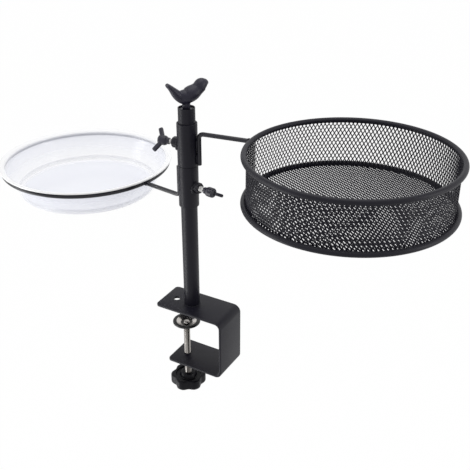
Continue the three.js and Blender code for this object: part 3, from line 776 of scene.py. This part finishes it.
def add_clamp():
    strip = add_object("clamp_strip", clamp_strip())
    past = STRIP_THICKNESS
    bore(strip, [
        peg(FIXING_HOLE_RADIUS, -past, 2 * past, FIXING_HOLE_REACH),
        peg(SCREW_RADIUS + SEAT_GAP, -JAW_HEIGHT - 2 * past, past - JAW_HEIGHT, SCREW_REACH),
    ])
    dress(strip, POWDER_COAT, "clamp_and_pole", "black_coat", "clamp_bracket")
    on_screw = Matrix.Translation((-SCREW_REACH, 0, 0))
    nut_top = -JAW_HEIGHT - STRIP_THICKNESS
    fixed_nut = nut(CLAMP_NUT_WIDTH, SCREW_RADIUS + SEAT_GAP, nut_top - CLAMP_NUT_HEIGHT, nut_top)
    weld = ring_weld(CLAMP_NUT_WIDTH / 2 + 2 * WELD_STAND_OFF, CLAMP_NUT_WELD, nut_top - SEAT_GAP)
    shape = moved(together(fixed_nut, weld), on_screw)
    show("clamp_fixed_nut", shape, POWDER_COAT, "clamp_and_pole", "black_coat", "clamp_weld_nut")
    show("pressed_pad", moved(pad(), on_screw), NICKEL_PAD_PAINTED_REFLECTIONS, "pressure_pad", "nickel", "clamp_pad")
    screw = moved(clamp_screw(), on_screw)
    show("threaded_clamp_screw", screw, NICKEL, "screw_and_knob", "nickel", "clamp_screw")
    knob = moved(star_knob(), on_screw @ Matrix.Rotation(KNOB_TURN, 4, "Z"))
    show("lobed_knob", knob, BLACK_PLASTIC, "screw_and_knob", "black_plastic", "star_knob")


def pad():
    hole = NECK_RADIUS + SEAT_GAP
    ring_outer = PAD_RADIUS - PAD_LIP_DROP
    profile = softened([
        (hole, PAD_UNDERSIDE, 0),
        (PAD_DISH_RADIUS, PAD_UNDERSIDE, 1.2),
        (PAD_RING_INNER, PAD_FACE - PAD_THICKNESS, 1.2),
        (ring_outer, PAD_FACE - PAD_THICKNESS, 0.3),
        (PAD_RADIUS, PAD_FACE - PAD_LIP_DROP - PAD_THICKNESS, 0.2),
        (PAD_RADIUS, PAD_FACE - PAD_LIP_DROP, 0.4),
        (ring_outer, PAD_FACE, 0.4),
        (PAD_RING_INNER, PAD_FACE, 0.8),
        (PAD_DISH_RADIUS, DISH_FLOOR, 1.2),
        (hole, DISH_FLOOR, 0),
    ])
    return turned(profile, PAD_SIDES, closed=True)


def clamp_screw():
    foot = KNOB_TOP - KNOB_SOCKET_DEPTH + SEAT_GAP
    shank = thread(SCREW_RADIUS, SCREW_PITCH, foot, PAD_UNDERSIDE - SEAT_GAP)
    head = DISH_FLOOR + SEAT_GAP
    rivet = turned(softened([
        (0, PAD_UNDERSIDE - RIVET_ROOT, 0),
        (NECK_RADIUS, PAD_UNDERSIDE - RIVET_ROOT, 0),
        (NECK_RADIUS, head, 0),
        (RIVET_RADIUS, head, 0.3),
        (RIVET_RADIUS * 0.75, head + RIVET_HEIGHT, 1),
        (0, head + RIVET_HEIGHT, 0),
    ]))
    return together(shank, rivet)


def knob_outline(angle, radius):
    """Scallops that fade out towards the recess round the hub."""
    share = min(max((radius - KNOB_RECESS_RADIUS) / (KNOB_RADIUS - KNOB_RECESS_RADIUS), 0), 1)
    dip = (0.5 - 0.5 * math.cos(KNOB_LOBES * angle)) ** KNOB_SCALLOP_SHARPNESS
    return radius - KNOB_SCALLOP * dip * share


def star_knob():
    top = KNOB_TOP - KNOB_HUB_HEIGHT
    base = top - KNOB_HEIGHT
    socket = SCREW_RADIUS + SEAT_GAP
    profile = softened([
        (0, base + KNOB_FOOT_DEPTH, 0),
        (KNOB_FOOT_RADIUS - 1, base + KNOB_FOOT_DEPTH, 0.5),
        (KNOB_FOOT_RADIUS, base, 0.5),
        (KNOB_RADIUS, base, 3),
        (KNOB_RADIUS, top, 2.4),
        (KNOB_RECESS_RADIUS, top, 1),
        (KNOB_RECESS_RADIUS - 0.7, top - KNOB_RECESS_DEPTH, 0.8),
        (KNOB_HUB_RADIUS, top - KNOB_RECESS_DEPTH, 1),
        (KNOB_HUB_TOP_RADIUS, KNOB_TOP, 0.9),
        (socket, KNOB_TOP, 0.4),
        (socket, KNOB_TOP - KNOB_SOCKET_DEPTH / 2, 0),
        (0, KNOB_TOP - KNOB_SOCKET_DEPTH / 2, 0),
    ])
    return turned(profile, KNOB_LOBES * LOBE_SIDES, knob_outline)


def tube(inner, outer, low, high):
    profile = softened([
        (inner, low, TUBE_INNER_ROUND),
        (outer, low, TUBE_OUTER_ROUND),
        (outer, high, TUBE_OUTER_ROUND),
        (inner, high, TUBE_INNER_ROUND),
    ])
    return turned(profile, ROUND_SIDES, closed=True)


def end_cap():
    plug = POLE_RADIUS - POLE_WALL - SEAT_GAP
    profile = softened([
        (0, CAP_TOP - CAP_PLUG_LENGTH, 0),
        (plug, CAP_TOP - CAP_PLUG_LENGTH, 0.5),
        (plug, CAP_TOP, 0.8),
        (0, CAP_TOP, 0),
    ])
    return turned(profile)


def spline(stations, t):
    """A smooth curve through the stations, from t = 0 at the first to t = 1 at the last."""
    last = len(stations) - 1
    k = min(int(t * last), last - 1)
    u = t * last - k
    near = [stations[min(max(k + step, 0), last)] for step in (-1, 0, 1, 2)]
    values = []
    for a, b, c, d in zip(*near):
        bend = (2 * a - 5 * b + 4 * c - d) * u ** 2 + (3 * b - a - 3 * c + d) * u ** 3
        values.append(b + ((c - a) * u + bend) / 2)
    return values


def loft(stations, rings=48, sides=32, nudge=0.01):
    """Ellipses along a spine in X and Z. A station is (x, z, half height, half width)."""
    points = []
    for ring in range(rings):
        t = ring / (rings - 1)
        x, z, high, wide = spline(stations, t)
        ahead = spline(stations, min(t + nudge, 1))
        behind = spline(stations, max(t - nudge, 0))
        along = Vector((ahead[0] - behind[0], ahead[1] - behind[1])).normalized()
        for angle in once_round(sides):
            lift = high * math.sin(angle)
            points.append((x - along.y * lift, wide * math.cos(angle), z + along.x * lift))
    return capped(points, sides)


def bird():
    """Body, raised tail and neck, with stations in hundredths of the bird's length."""
    def sized(stations):
        return [[part * BIRD_LENGTH / 100 for part in station] for station in stations]
    body = loft(sized([
        (-20.5, 32.5, 2, 2), (-14, 30.5, 10.8, 11.5), (0, 26.8, 17.2, 18),
        (15.4, 32.1, 18.2, 20.6), (28.7, 40.3, 14.8, 17.1), (38.1, 48.8, 15.4, 15.4),
        (48.4, 51.4, 9.4, 9.9), (55.2, 50.1, 1.7, 1.7),
    ]))
    tail = loft(sized([
        (2.1, 13.5, 8.5, 10), (-10.7, 21.8, 11.4, 12), (-22.7, 33.2, 10.9, 12),
        (-34.7, 47.3, 7, 11.6), (-44.8, 57.4, 4.5, 10.3),
    ]))
    foot = SEAT_GAP - CAP_RECESS
    neck = turned([
        (0, foot), (BIRD_NECK_RADIUS, foot), (BIRD_NECK_RADIUS, foot + BIRD_NECK_HEIGHT),
        (0, foot + BIRD_NECK_HEIGHT),
    ])
    place = Matrix.Translation((0, 0, POLE_TOP)) @ Matrix.Rotation(BIRD_TURN, 4, "Z")
    return moved(together(body, tail, neck), place)


def add_pole():
    pole = tube(POLE_RADIUS - POLE_WALL, POLE_RADIUS, STRIP_THICKNESS, POLE_TOP)
    foot_weld = ring_weld(POLE_RADIUS + WELD_STAND_OFF, POLE_WELD, STRIP_THICKNESS + WELD_STAND_OFF)
    show("welded_pole", together(pole, foot_weld), POWDER_COAT, "clamp_and_pole", "black_coat", "pole_tube")
    show("pole_plug", end_cap(), GRIP_PLASTIC, "clamp_and_pole", "black_plastic", "pole_end_cap")
    finial = add_object("cast_bird", bird())
    melt(finial, BIRD_GRAIN, BIRD_ROUNDING)
    dress(finial, CAST_COAT, "clamp_and_pole", "black_coat", "bird_finial")
    paint(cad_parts["finial_stud"], ZINC)


def arm_path(level, leg_end, rod_end):
    """The rod's middle line: up or down the collar, round the bend and out to the tray."""
    way = math.copysign(1, level - leg_end)
    path = [(LEG_REACH, 0, leg_end), (LEG_REACH, 0, leg_end + ARM_BEVEL * way)]
    for step in range(BEND_STEPS + 1):
        t = step / BEND_STEPS
        out = ARM_BEND * t ** 2
        drop = ARM_BEND * (1 - t) ** 2
        path.append((LEG_REACH + out, 0, level - way * drop))
    path.append((rod_end, 0, level))
    path.append((rod_end + ARM_IN_WELD, 0, level))
    return path


def arm(level, leg_end, rod_end):
    path = arm_path(level, leg_end, rod_end)
    radii = [ARM_RADIUS] * len(path)
    radii[0] = ARM_RADIUS - ARM_BEVEL
    return swept(path, radii, (0, 1, 0))


def arm_welds(level, leg_end, rod_end):
    """Stitches between the leg and the collar, and a bead where the rod meets the tray's rim."""
    way = math.copysign(1, level - leg_end)
    beads = []
    for side in (-1, 1):
        for start in STITCH_STARTS:
            path = []
            for step in range(STITCH_STEPS + 1):
                height = leg_end + way * (start + step * STITCH_SPACING)
                path.append((LEG_REACH - STITCH_BEHIND, side * STITCH_ASIDE, height))
            beads.append(bead(path, STITCH_WIDTH, (0, 1, 0)))
    profile = [
        (ARM_RADIUS - 0.2, 0),
        (ARM_RADIUS + 0.2, 0.5),
        (ARM_RADIUS + RIM_WELD_RISE, RIM_WELD_LENGTH),
        (ARM_RADIUS - 0.5, RIM_WELD_LENGTH),
    ]
    flare = turned(profile, ROD_SIDES, closed=True)
    start = Matrix.Translation((rod_end - RIM_WELD_START, 0, level))
    along_rod = start @ Matrix.Rotation(math.pi / 2, 4, "Y")
    return together(*beads, moved(flare, along_rod))


def nut_weld(middle):
    """A bead round the nut's foot that follows the collar, heaviest below the nut."""
    path = []
    radii = []
    for step in range(NUT_WELD_STEPS + 1):
        angle = 2 * math.pi * step / NUT_WELD_STEPS
        y = NUT_WELD_HALF_WIDTH * math.sin(angle)
        z = NUT_WELD_HALF_HEIGHT * math.cos(angle) - NUT_WELD_DROP
        path.append((-math.sqrt(COLLAR_OUTER ** 2 - y ** 2) - WELD_STAND_OFF, y, middle + z))
        ripple = NUT_WELD_RIPPLE * math.cos(WELD_RIPPLE_TURN * step)
        radii.append(NUT_WELD_WIDTH - NUT_WELD_SAG * math.cos(angle) + ripple)
    return swept(path, radii, (1, 0, 0), NUT_WELD_SIDES)


def lying_out(middle):
    """Turns what is made along Z to lie along a carrier's -X, at a height."""
    return Matrix.Translation((0, 0, middle)) @ Matrix.Rotation(-math.pi / 2, 4, "Y")


def squared_off(share):
    """Pushes a sine or cosine outwards, so that a circle made with it comes nearer to a square."""
    return math.copysign(math.sqrt(abs(share)), share)


def wing(sideways):
    """One wing: a flat bar with rounded edges and a rounded end, leaning out from the axis."""
    along = Vector((sideways * math.sin(WING_SPREAD), 0, math.cos(WING_SPREAD)))
    thin = Vector((0, 1, 0))
    broad = along.cross(thin)
    sections = [(0, 0)]
    for step in range(END_STEPS + 1):
        angle = math.pi / 2 * step / END_STEPS
        sections.append((WING_LENGTH - WING_END * (1 - math.sin(angle)), WING_END * (1 - math.cos(angle))))
    points = []
    for reach, lost in sections:
        for angle in once_round(WING_SIDES):
            across = squared_off(math.cos(angle)) * (WING_WIDTH / 2 - lost)
            through = squared_off(math.sin(angle)) * (WING_THICKNESS / 2 - lost)
            points.append(along * reach + broad * across + thin * through)
    return capped(points, WING_SIDES)


def wing_grip(grip_face, roll):
    """A moulded hub with a dimple in its end and two wings, made along Z."""
    neck_end = grip_face + WING_NECK_LENGTH
    middle = neck_end + WING_HUB_RADIUS
    end = middle + WING_HUB_RADIUS
    hub = turned(softened([
        (0, grip_face, 0),
        (WING_NECK_RADIUS, grip_face, 0.4),
        (WING_NECK_RADIUS, neck_end, 0.8),
        (WING_HUB_RADIUS, neck_end + WING_HUB_SHOULDER, 2),
        (WING_HUB_RADIUS, end, WING_HUB_ROUND),
        (WING_DIMPLE_RADIUS, end, 0.4),
        (WING_DIMPLE_RADIUS - 0.5, end - WING_DIMPLE_DEPTH, 0.8),
        (0, end - WING_DIMPLE_DEPTH, 0),
    ]))
    place = Matrix.Translation((0, 0, middle)) @ Matrix.Rotation(roll, 4, "Z")
    return together(hub, moved(wing(-1), place), moved(wing(1), place))


def add_carrier(tray, prefix, turn, bottom, level, leg_end, rod_end, thread_shown, roll):
    """Collar, nut, rod arm and wing screw of one tray."""
    body = f"{tray}_carrier"
    place = Matrix.Rotation(turn, 4, "Z")
    middle = bottom + COLLAR_HEIGHT / 2
    collar = tube(COLLAR_INNER, COLLAR_OUTER, bottom, bottom + COLLAR_HEIGHT)
    show(f"{prefix}_swivel_collar", moved(collar, place), POWDER_COAT, body, "black_coat", f"{prefix}_collar")
    fixed_nut = nut(WING_NUT_WIDTH, WING_SCREW_RADIUS + SEAT_GAP, COLLAR_INNER + WING_NUT_SHORT, NUT_FACE)
    shape = moved(together(moved(fixed_nut, lying_out(middle)), nut_weld(middle)), place)
    show(f"{prefix}_fixed_nut", shape, POWDER_COAT, body, "black_coat", f"{prefix}_weld_nut")
    shape = moved(arm(level, leg_end, rod_end), place)
    show(f"{tray}_rod_arm", shape, ROD_COAT, body, "black_coat", f"{tray}_arm")
    shape = moved(arm_welds(level, leg_end, rod_end), place)
    show(f"{tray}_arm_welds", shape, POWDER_COAT, body, "black_coat")
    grip_face = NUT_FACE + thread_shown
    shank_end = grip_face + WING_SOCKET_DEPTH - SEAT_GAP
    shank = thread(WING_SCREW_RADIUS, WING_SCREW_PITCH, COLLAR_INNER, shank_end)
    shape = moved(shank, place @ lying_out(middle))
    show(f"{prefix}_wing_screw", shape, ZINC, f"{prefix}_screw", "zinc", f"{prefix}_wing_shank")
    shape = moved(wing_grip(grip_face, roll), place @ lying_out(middle))
    grip = add_object(f"{prefix}_moulded_grip", shape)
    melt(grip, GRIP_GRAIN, GRIP_ROUNDING)
    dress(grip, GRIP_PLASTIC, f"{prefix}_grip", "black_plastic", f"{prefix}_wing_grip")


def clamped(share):
    return min(max(share, -1), 1)


def inset(corners, distances):
    """Moves each side of an outline inwards by its own distance."""
    lines = []
    for k, (x, y) in enumerate(corners):
        next_x, next_y = corners[(k + 1) % len(corners)]
        length = math.hypot(next_x - x, next_y - y)
        a = -(next_y - y) / length
        b = (next_x - x) / length
        lines.append((a, b, a * x + b * y + distances[k]))
    points = []
    for k, (a, b, c) in enumerate(lines):
        p, q, r = lines[k - 1]
        det = a * q - b * p
        points.append(((c * q - b * r) / det, (a * r - c * p) / det))
    return points


def mesh_sheet(cells, place, strand, thickness, lean, bends=(0,)):
    """Expanded mesh. A cell is one opening with half the width of the strands round it: its corners,
    and for each side the width of a hem, or 0 where another cell shares the strand. The strands
    lean along X or Y, as the press leaves them. Bends are the shares of a side's length at which
    the lean may change."""
    points = []
    faces = []
    half = thickness / 2
    for corners, hems in cells:
        hole = inset(corners, [hem or strand / 2 for hem in hems])
        middle_x, middle_y = [(min(side) + max(side)) / 2 for side in zip(*corners)]
        first = len(points)
        for k in range(len(corners)):
            for share in bends:
                x, y = Vector(corners[k - 1]).lerp(Vector(corners[k]), share)
                points += [place(x, y, half), place(x, y, -half)]
                x, y = Vector(hole[k - 1]).lerp(Vector(hole[k]), share)
                share_x = clamped((x - middle_x) / LEAN_RUN)
                share_y = clamped((y - middle_y) / LEAN_RUN)
                depth = lean[0] * share_x + lean[1] * share_y
                points += [place(x, y, depth + half), place(x, y, depth - half)]
        count = len(corners) * len(bends)
        for k in range(count):
            here = first + 4 * k
            there = first + 4 * ((k + 1) % count)
            faces.append((here, there, there + 2, here + 2))
            faces.append((there + 1, here + 1, here + 3, there + 3))
            faces.append((here + 2, there + 2, there + 3, here + 3))
            if hems[k // len(bends) - 1]:
                faces.append((here + 1, there + 1, there, here))
    return points, faces


def wall_cells(columns, first_column):
    """Staggered diamonds, with half diamonds along the top and bottom edges. A strip that doesn't go
    all the way round has hems at its two ends."""
    end_hem = WALL_STRAND / 2 if columns < WALL_COLUMNS else 0
    cells = []
    for row in range(WALL_HALF_ROWS + 1):
        for column in range(columns):
            x = (first_column + column + (row % 2) / 2) * WALL_COLUMN_WIDTH
            y = row * WALL_HALF_CELL
            left = (x - WALL_COLUMN_WIDTH / 2, y)
            right = (x + WALL_COLUMN_WIDTH / 2, y)
            top = (x, y + WALL_HALF_CELL)
            bottom = (x, y - WALL_HALF_CELL)
            left_hem = end_hem if column == 0 and row % 2 == 0 else 0
            right_hem = end_hem if column == columns - 1 and row % 2 == 1 else 0
            if row == 0:
                cells.append(([left, right, top], [WALL_HEM, right_hem, left_hem]))
            elif row == WALL_HALF_ROWS:
                cells.append(([right, left, bottom], [WALL_HEM, left_hem, right_hem]))
            else:
                cells.append(([bottom, right, top, left], [right_hem, right_hem, left_hem, left_hem]))
    return cells


def stand_out(x):
    """How far the wall stands out of round near its seam, where the sheet's end stays flat."""
    flat = FLAT_COLUMNS * WALL_COLUMN_WIDTH
    along = (x - FLAT_FIRST * WALL_COLUMN_WIDTH) % WALL_GIRTH
    most = math.hypot(WALL_RADIUS, flat) - WALL_RADIUS
    if along < flat:
        return math.hypot(WALL_RADIUS, along) - WALL_RADIUS
    return most * max(0, 1 - (along - flat) / flat)


def basket_wall():
    """The wall's mesh, its edges inside the rims, and the few columns near the arm where it laps."""
    low = BASKET_FOOT + (BASKET_DEPTH - WALL_HALF_ROWS * WALL_HALF_CELL) / 2

    def on_wall(x, y, depth):
        angle = math.pi + x / WALL_RADIUS
        radius = WALL_RADIUS + stand_out(x) + depth
        return (radius * math.cos(angle), radius * math.sin(angle), low + y)

    def on_lap(x, y, depth):
        return on_wall(x, y, depth - SEAM_STEP)
    sheets = []
    for columns, first_column, place in ((WALL_COLUMNS, 0, on_wall), (SEAM_COLUMNS, SEAM_FIRST, on_lap)):
        cells = wall_cells(columns, first_column)
        sheets.append(mesh_sheet(cells, place, WALL_STRAND, WALL_THICKNESS, (WALL_LEAN, 0)))
    return together(*sheets)


def basket_floor():
    """The floor's mesh, made with its long diamonds along X, its edge gripped in the bottom rim."""
    rows = math.ceil(2 * FLOOR_RADIUS / FLOOR_CELL_SHORT)
    columns = math.ceil(FLOOR_RADIUS / FLOOR_CELL_LONG) + 1
    outlines = {}
    for row in range(-rows, rows + 1):
        for column in range(-columns, columns + 1):
            step = 2 * column + row % 2
            x = step * FLOOR_CELL_LONG / 2
            y = row * FLOOR_CELL_SHORT / 2
            corners = [
                (x, y - FLOOR_CELL_SHORT / 2), (x + FLOOR_CELL_LONG / 2, y),
                (x, y + FLOOR_CELL_SHORT / 2), (x - FLOOR_CELL_LONG / 2, y),
            ]
            if min(math.hypot(*corner) for corner in corners) < FLOOR_SEEN_RADIUS:
                outlines[step, row] = corners
    beside = [(1, -1), (1, 1), (-1, 1), (-1, -1)]
    cells = []
    for (step, row), corners in outlines.items():
        alone = [(step + across, row + up) not in outlines for across, up in beside]
        cells.append((corners, [FLOOR_STRAND / 2 * side for side in alone]))

    def place(x, y, depth):
        inwards = min(1, FLOOR_RADIUS / max(math.hypot(x, y), 1))
        return (x * inwards, y * inwards, BASKET_FOOT - FLOOR_DROP + depth)
    sheet = mesh_sheet(cells, place, FLOOR_STRAND, FLOOR_THICKNESS, (0, FLOOR_LEAN), FLOOR_BENDS)
    return moved(sheet, Matrix.Rotation(FLOOR_TURN - BASKET_TURN, 4, "Z"))


def add_basket():
    leg_end = BASKET_LEVEL - ARM_LEG
    add_carrier("basket", "upper", BASKET_TURN, UPPER_BOTTOM, BASKET_LEVEL, leg_end, BASKET_ARM_REACH,
                BASKET_THREAD_SHOWN, BASKET_WING_ROLL)
    place = Matrix.Rotation(BASKET_TURN, 4, "Z") @ Matrix.Translation((BASKET_REACH, 0, 0))
    body = "basket_carrier"
    for name, height in (("top", BASKET_LEVEL), ("bottom", BASKET_FOOT)):
        rim = moved(hoop(RIM_RADIUS, RIM_ROLL, height), place)
        show(f"rolled_{name}_rim", rim, POWDER_COAT, body, "black_coat", f"basket_{name}_rim")
    show("expanded_wall", moved(basket_wall(), place), MESH_COAT, body, "black_coat", "basket_wall_mesh")
    show("expanded_floor", moved(basket_floor(), place), MESH_COAT, body, "black_coat", "basket_floor_mesh")


def bowl():
    """The dish's section: out along its underside, over the flange and back inside."""
    throat = RING_RADIUS - RING_ROD - SEAT_GAP
    flange = RING_ROD + SEAT_GAP
    edge = RING_RADIUS + RING_ROD + BOWL_FLANGE_OVERHANG
    foot = BOWL_BASE_RADIUS + BOWL_BASE_ROUND
    heel = BOWL_BASE_ROUND - BOWL_DEPTH
    profile = softened([
        (0, -BOWL_DEPTH, 0),
        (foot - 1, -BOWL_DEPTH, BOWL_BASE_ROUND),
        (foot, heel, BOWL_HEEL_ROUND),
        (throat, -RING_ROD, BOWL_THROAT_ROUND),
        (throat + 0.8, flange, 1.5),
        (RING_RADIUS, flange, 1.5),
        (edge, flange + BOWL_FLANGE_RISE, 0.3),
        (edge, flange + BOWL_FLANGE_RISE + BOWL_WALL, 0.6),
        (RING_RADIUS, flange + BOWL_WALL, 2),
        (throat - 0.8, flange + BOWL_WALL, 2),
        (throat - BOWL_WALL, -RING_ROD, BOWL_THROAT_ROUND),
        (foot - BOWL_WALL, heel, BOWL_HEEL_ROUND),
        (foot - 1 - BOWL_WALL, BOWL_WALL - BOWL_DEPTH, BOWL_BASE_ROUND - BOWL_WALL),
        (0, BOWL_WALL - BOWL_DEPTH, 0),
    ])
    return turned(profile, RIM_STEPS)


def add_bowl():
    leg_end = BOWL_LEVEL + ARM_LEG
    add_carrier("bowl", "lower", BOWL_TURN, LOWER_BOTTOM, BOWL_LEVEL, leg_end, BOWL_ARM_REACH,
                BOWL_THREAD_SHOWN, BOWL_WING_ROLL)
    place = Matrix.Rotation(BOWL_TURN, 4, "Z") @ Matrix.Translation((BOWL_REACH, 0, BOWL_LEVEL))
    ring = moved(hoop(RING_RADIUS, RING_ROD, 0), place)
    show("rod_ring", ring, ROD_COAT, "bowl_carrier", "black_coat", "bowl_ring")
    show("clear_dish", moved(bowl(), place), CLEAR_PLASTIC, "bowl", "clear_plastic", "water_bowl")


def add_camera():
    camera = bpy.data.cameras.new("camera")
    camera.sensor_width = SENSOR_WIDTH
    camera.lens = FOCAL_PIXELS / IMAGE_SIZE * SENSOR_WIDTH
    camera.shift_x = (IMAGE_SIZE / 2 - AXIS_PIXEL) / IMAGE_SIZE
    camera.clip_start = CAMERA_NEAR * MM
    holder = place_in_scene("camera", camera)
    level = Matrix.Rotation(CAMERA_HEADING, 4, "Z") @ Matrix.Rotation(math.pi / 2 - CAMERA_PITCH, 4, "X")
    aim = level @ Matrix.Rotation(-CAMERA_ROLL, 4, "Z")
    holder.matrix_world = Matrix.Translation(Vector(CAMERA_PLACE) * MM) @ aim
    bpy.context.scene.camera = holder


def add_lamp(name, place, size, power):
    """A soft rectangular lamp that faces the middle of the object."""
    lamp = bpy.data.lights.new(name, "AREA")
    lamp.shape = "RECTANGLE"
    lamp.size = size[0]
    lamp.size_y = size[1]
    lamp.energy = power
    holder = place_in_scene(name, lamp)
    holder.location = place
    facing = Vector(LAMP_TARGET) - Vector(place)
    holder.rotation_euler = facing.to_track_quat("-Z", "Y").to_euler()


def seen_directly(nodes, in_mirror):
    """1 for what the camera or clear plastic shows, a share of it in a mirror, and 0 for light that falls."""
    camera = nodes.add("ShaderNodeLightPath", output="Is Camera Ray")
    mirror = nodes.add("ShaderNodeLightPath", output="Is Glossy Ray")
    through = nodes.add("ShaderNodeLightPath", output="Is Transmission Ray")
    shown = camera + mirror * in_mirror + through
    return shown.math("MINIMUM", shown, 1)


def add_world():
    world = bpy.data.worlds.new("studio")
    bpy.context.scene.world = world
    world.use_nodes = True
    nodes = Nodes(world.node_tree)
    white = nodes.add("ShaderNodeBackground", {}, {"Color": WHITE, "Strength": 1.0})
    room = nodes.add("ShaderNodeBackground", {}, {"Color": WHITE, "Strength": ROOM_LIGHT})
    mixed = nodes.add("ShaderNodeMixShader", {}, {0: seen_directly(nodes, 1), 1: room, 2: white})
    nodes.add("ShaderNodeOutputWorld", {}, {"Surface": mixed})


def add_studio_floor():
    half = STUDIO_FLOOR_SIZE / 2
    corners = [(x * half, y * half, STUDIO_FLOOR_LEVEL) for x, y in ((-1, -1), (1, -1), (1, 1), (-1, 1))]
    floor = add_object("studio_floor", (corners, [(0, 1, 2, 3)]))
    material, nodes = new_finish("white_floor")
    matt = nodes.add("ShaderNodeBsdfDiffuse", {}, {"Color": STUDIO_FLOOR_PAINT})
    glow = nodes.add("ShaderNodeEmission", {}, {"Color": WHITE, "Strength": 1.0})
    share = seen_directly(nodes, STUDIO_FLOOR_IN_MIRRORS) * STUDIO_FLOOR_GLOW
    surface = nodes.add("ShaderNodeMixShader", {}, {0: share, 1: matt, 2: glow})
    nodes.add("ShaderNodeOutputMaterial", {}, {"Surface": surface})
    paint(floor, material)


def add_studio():
    add_world()
    add_studio_floor()
    for name, place, size, power in LAMPS:
        add_lamp(name, place, size, power)


add_camera()
add_clamp()
add_pole()
add_basket()
add_bowl()
add_studio()
bpy.context.scene.view_settings.view_transform = "Standard"
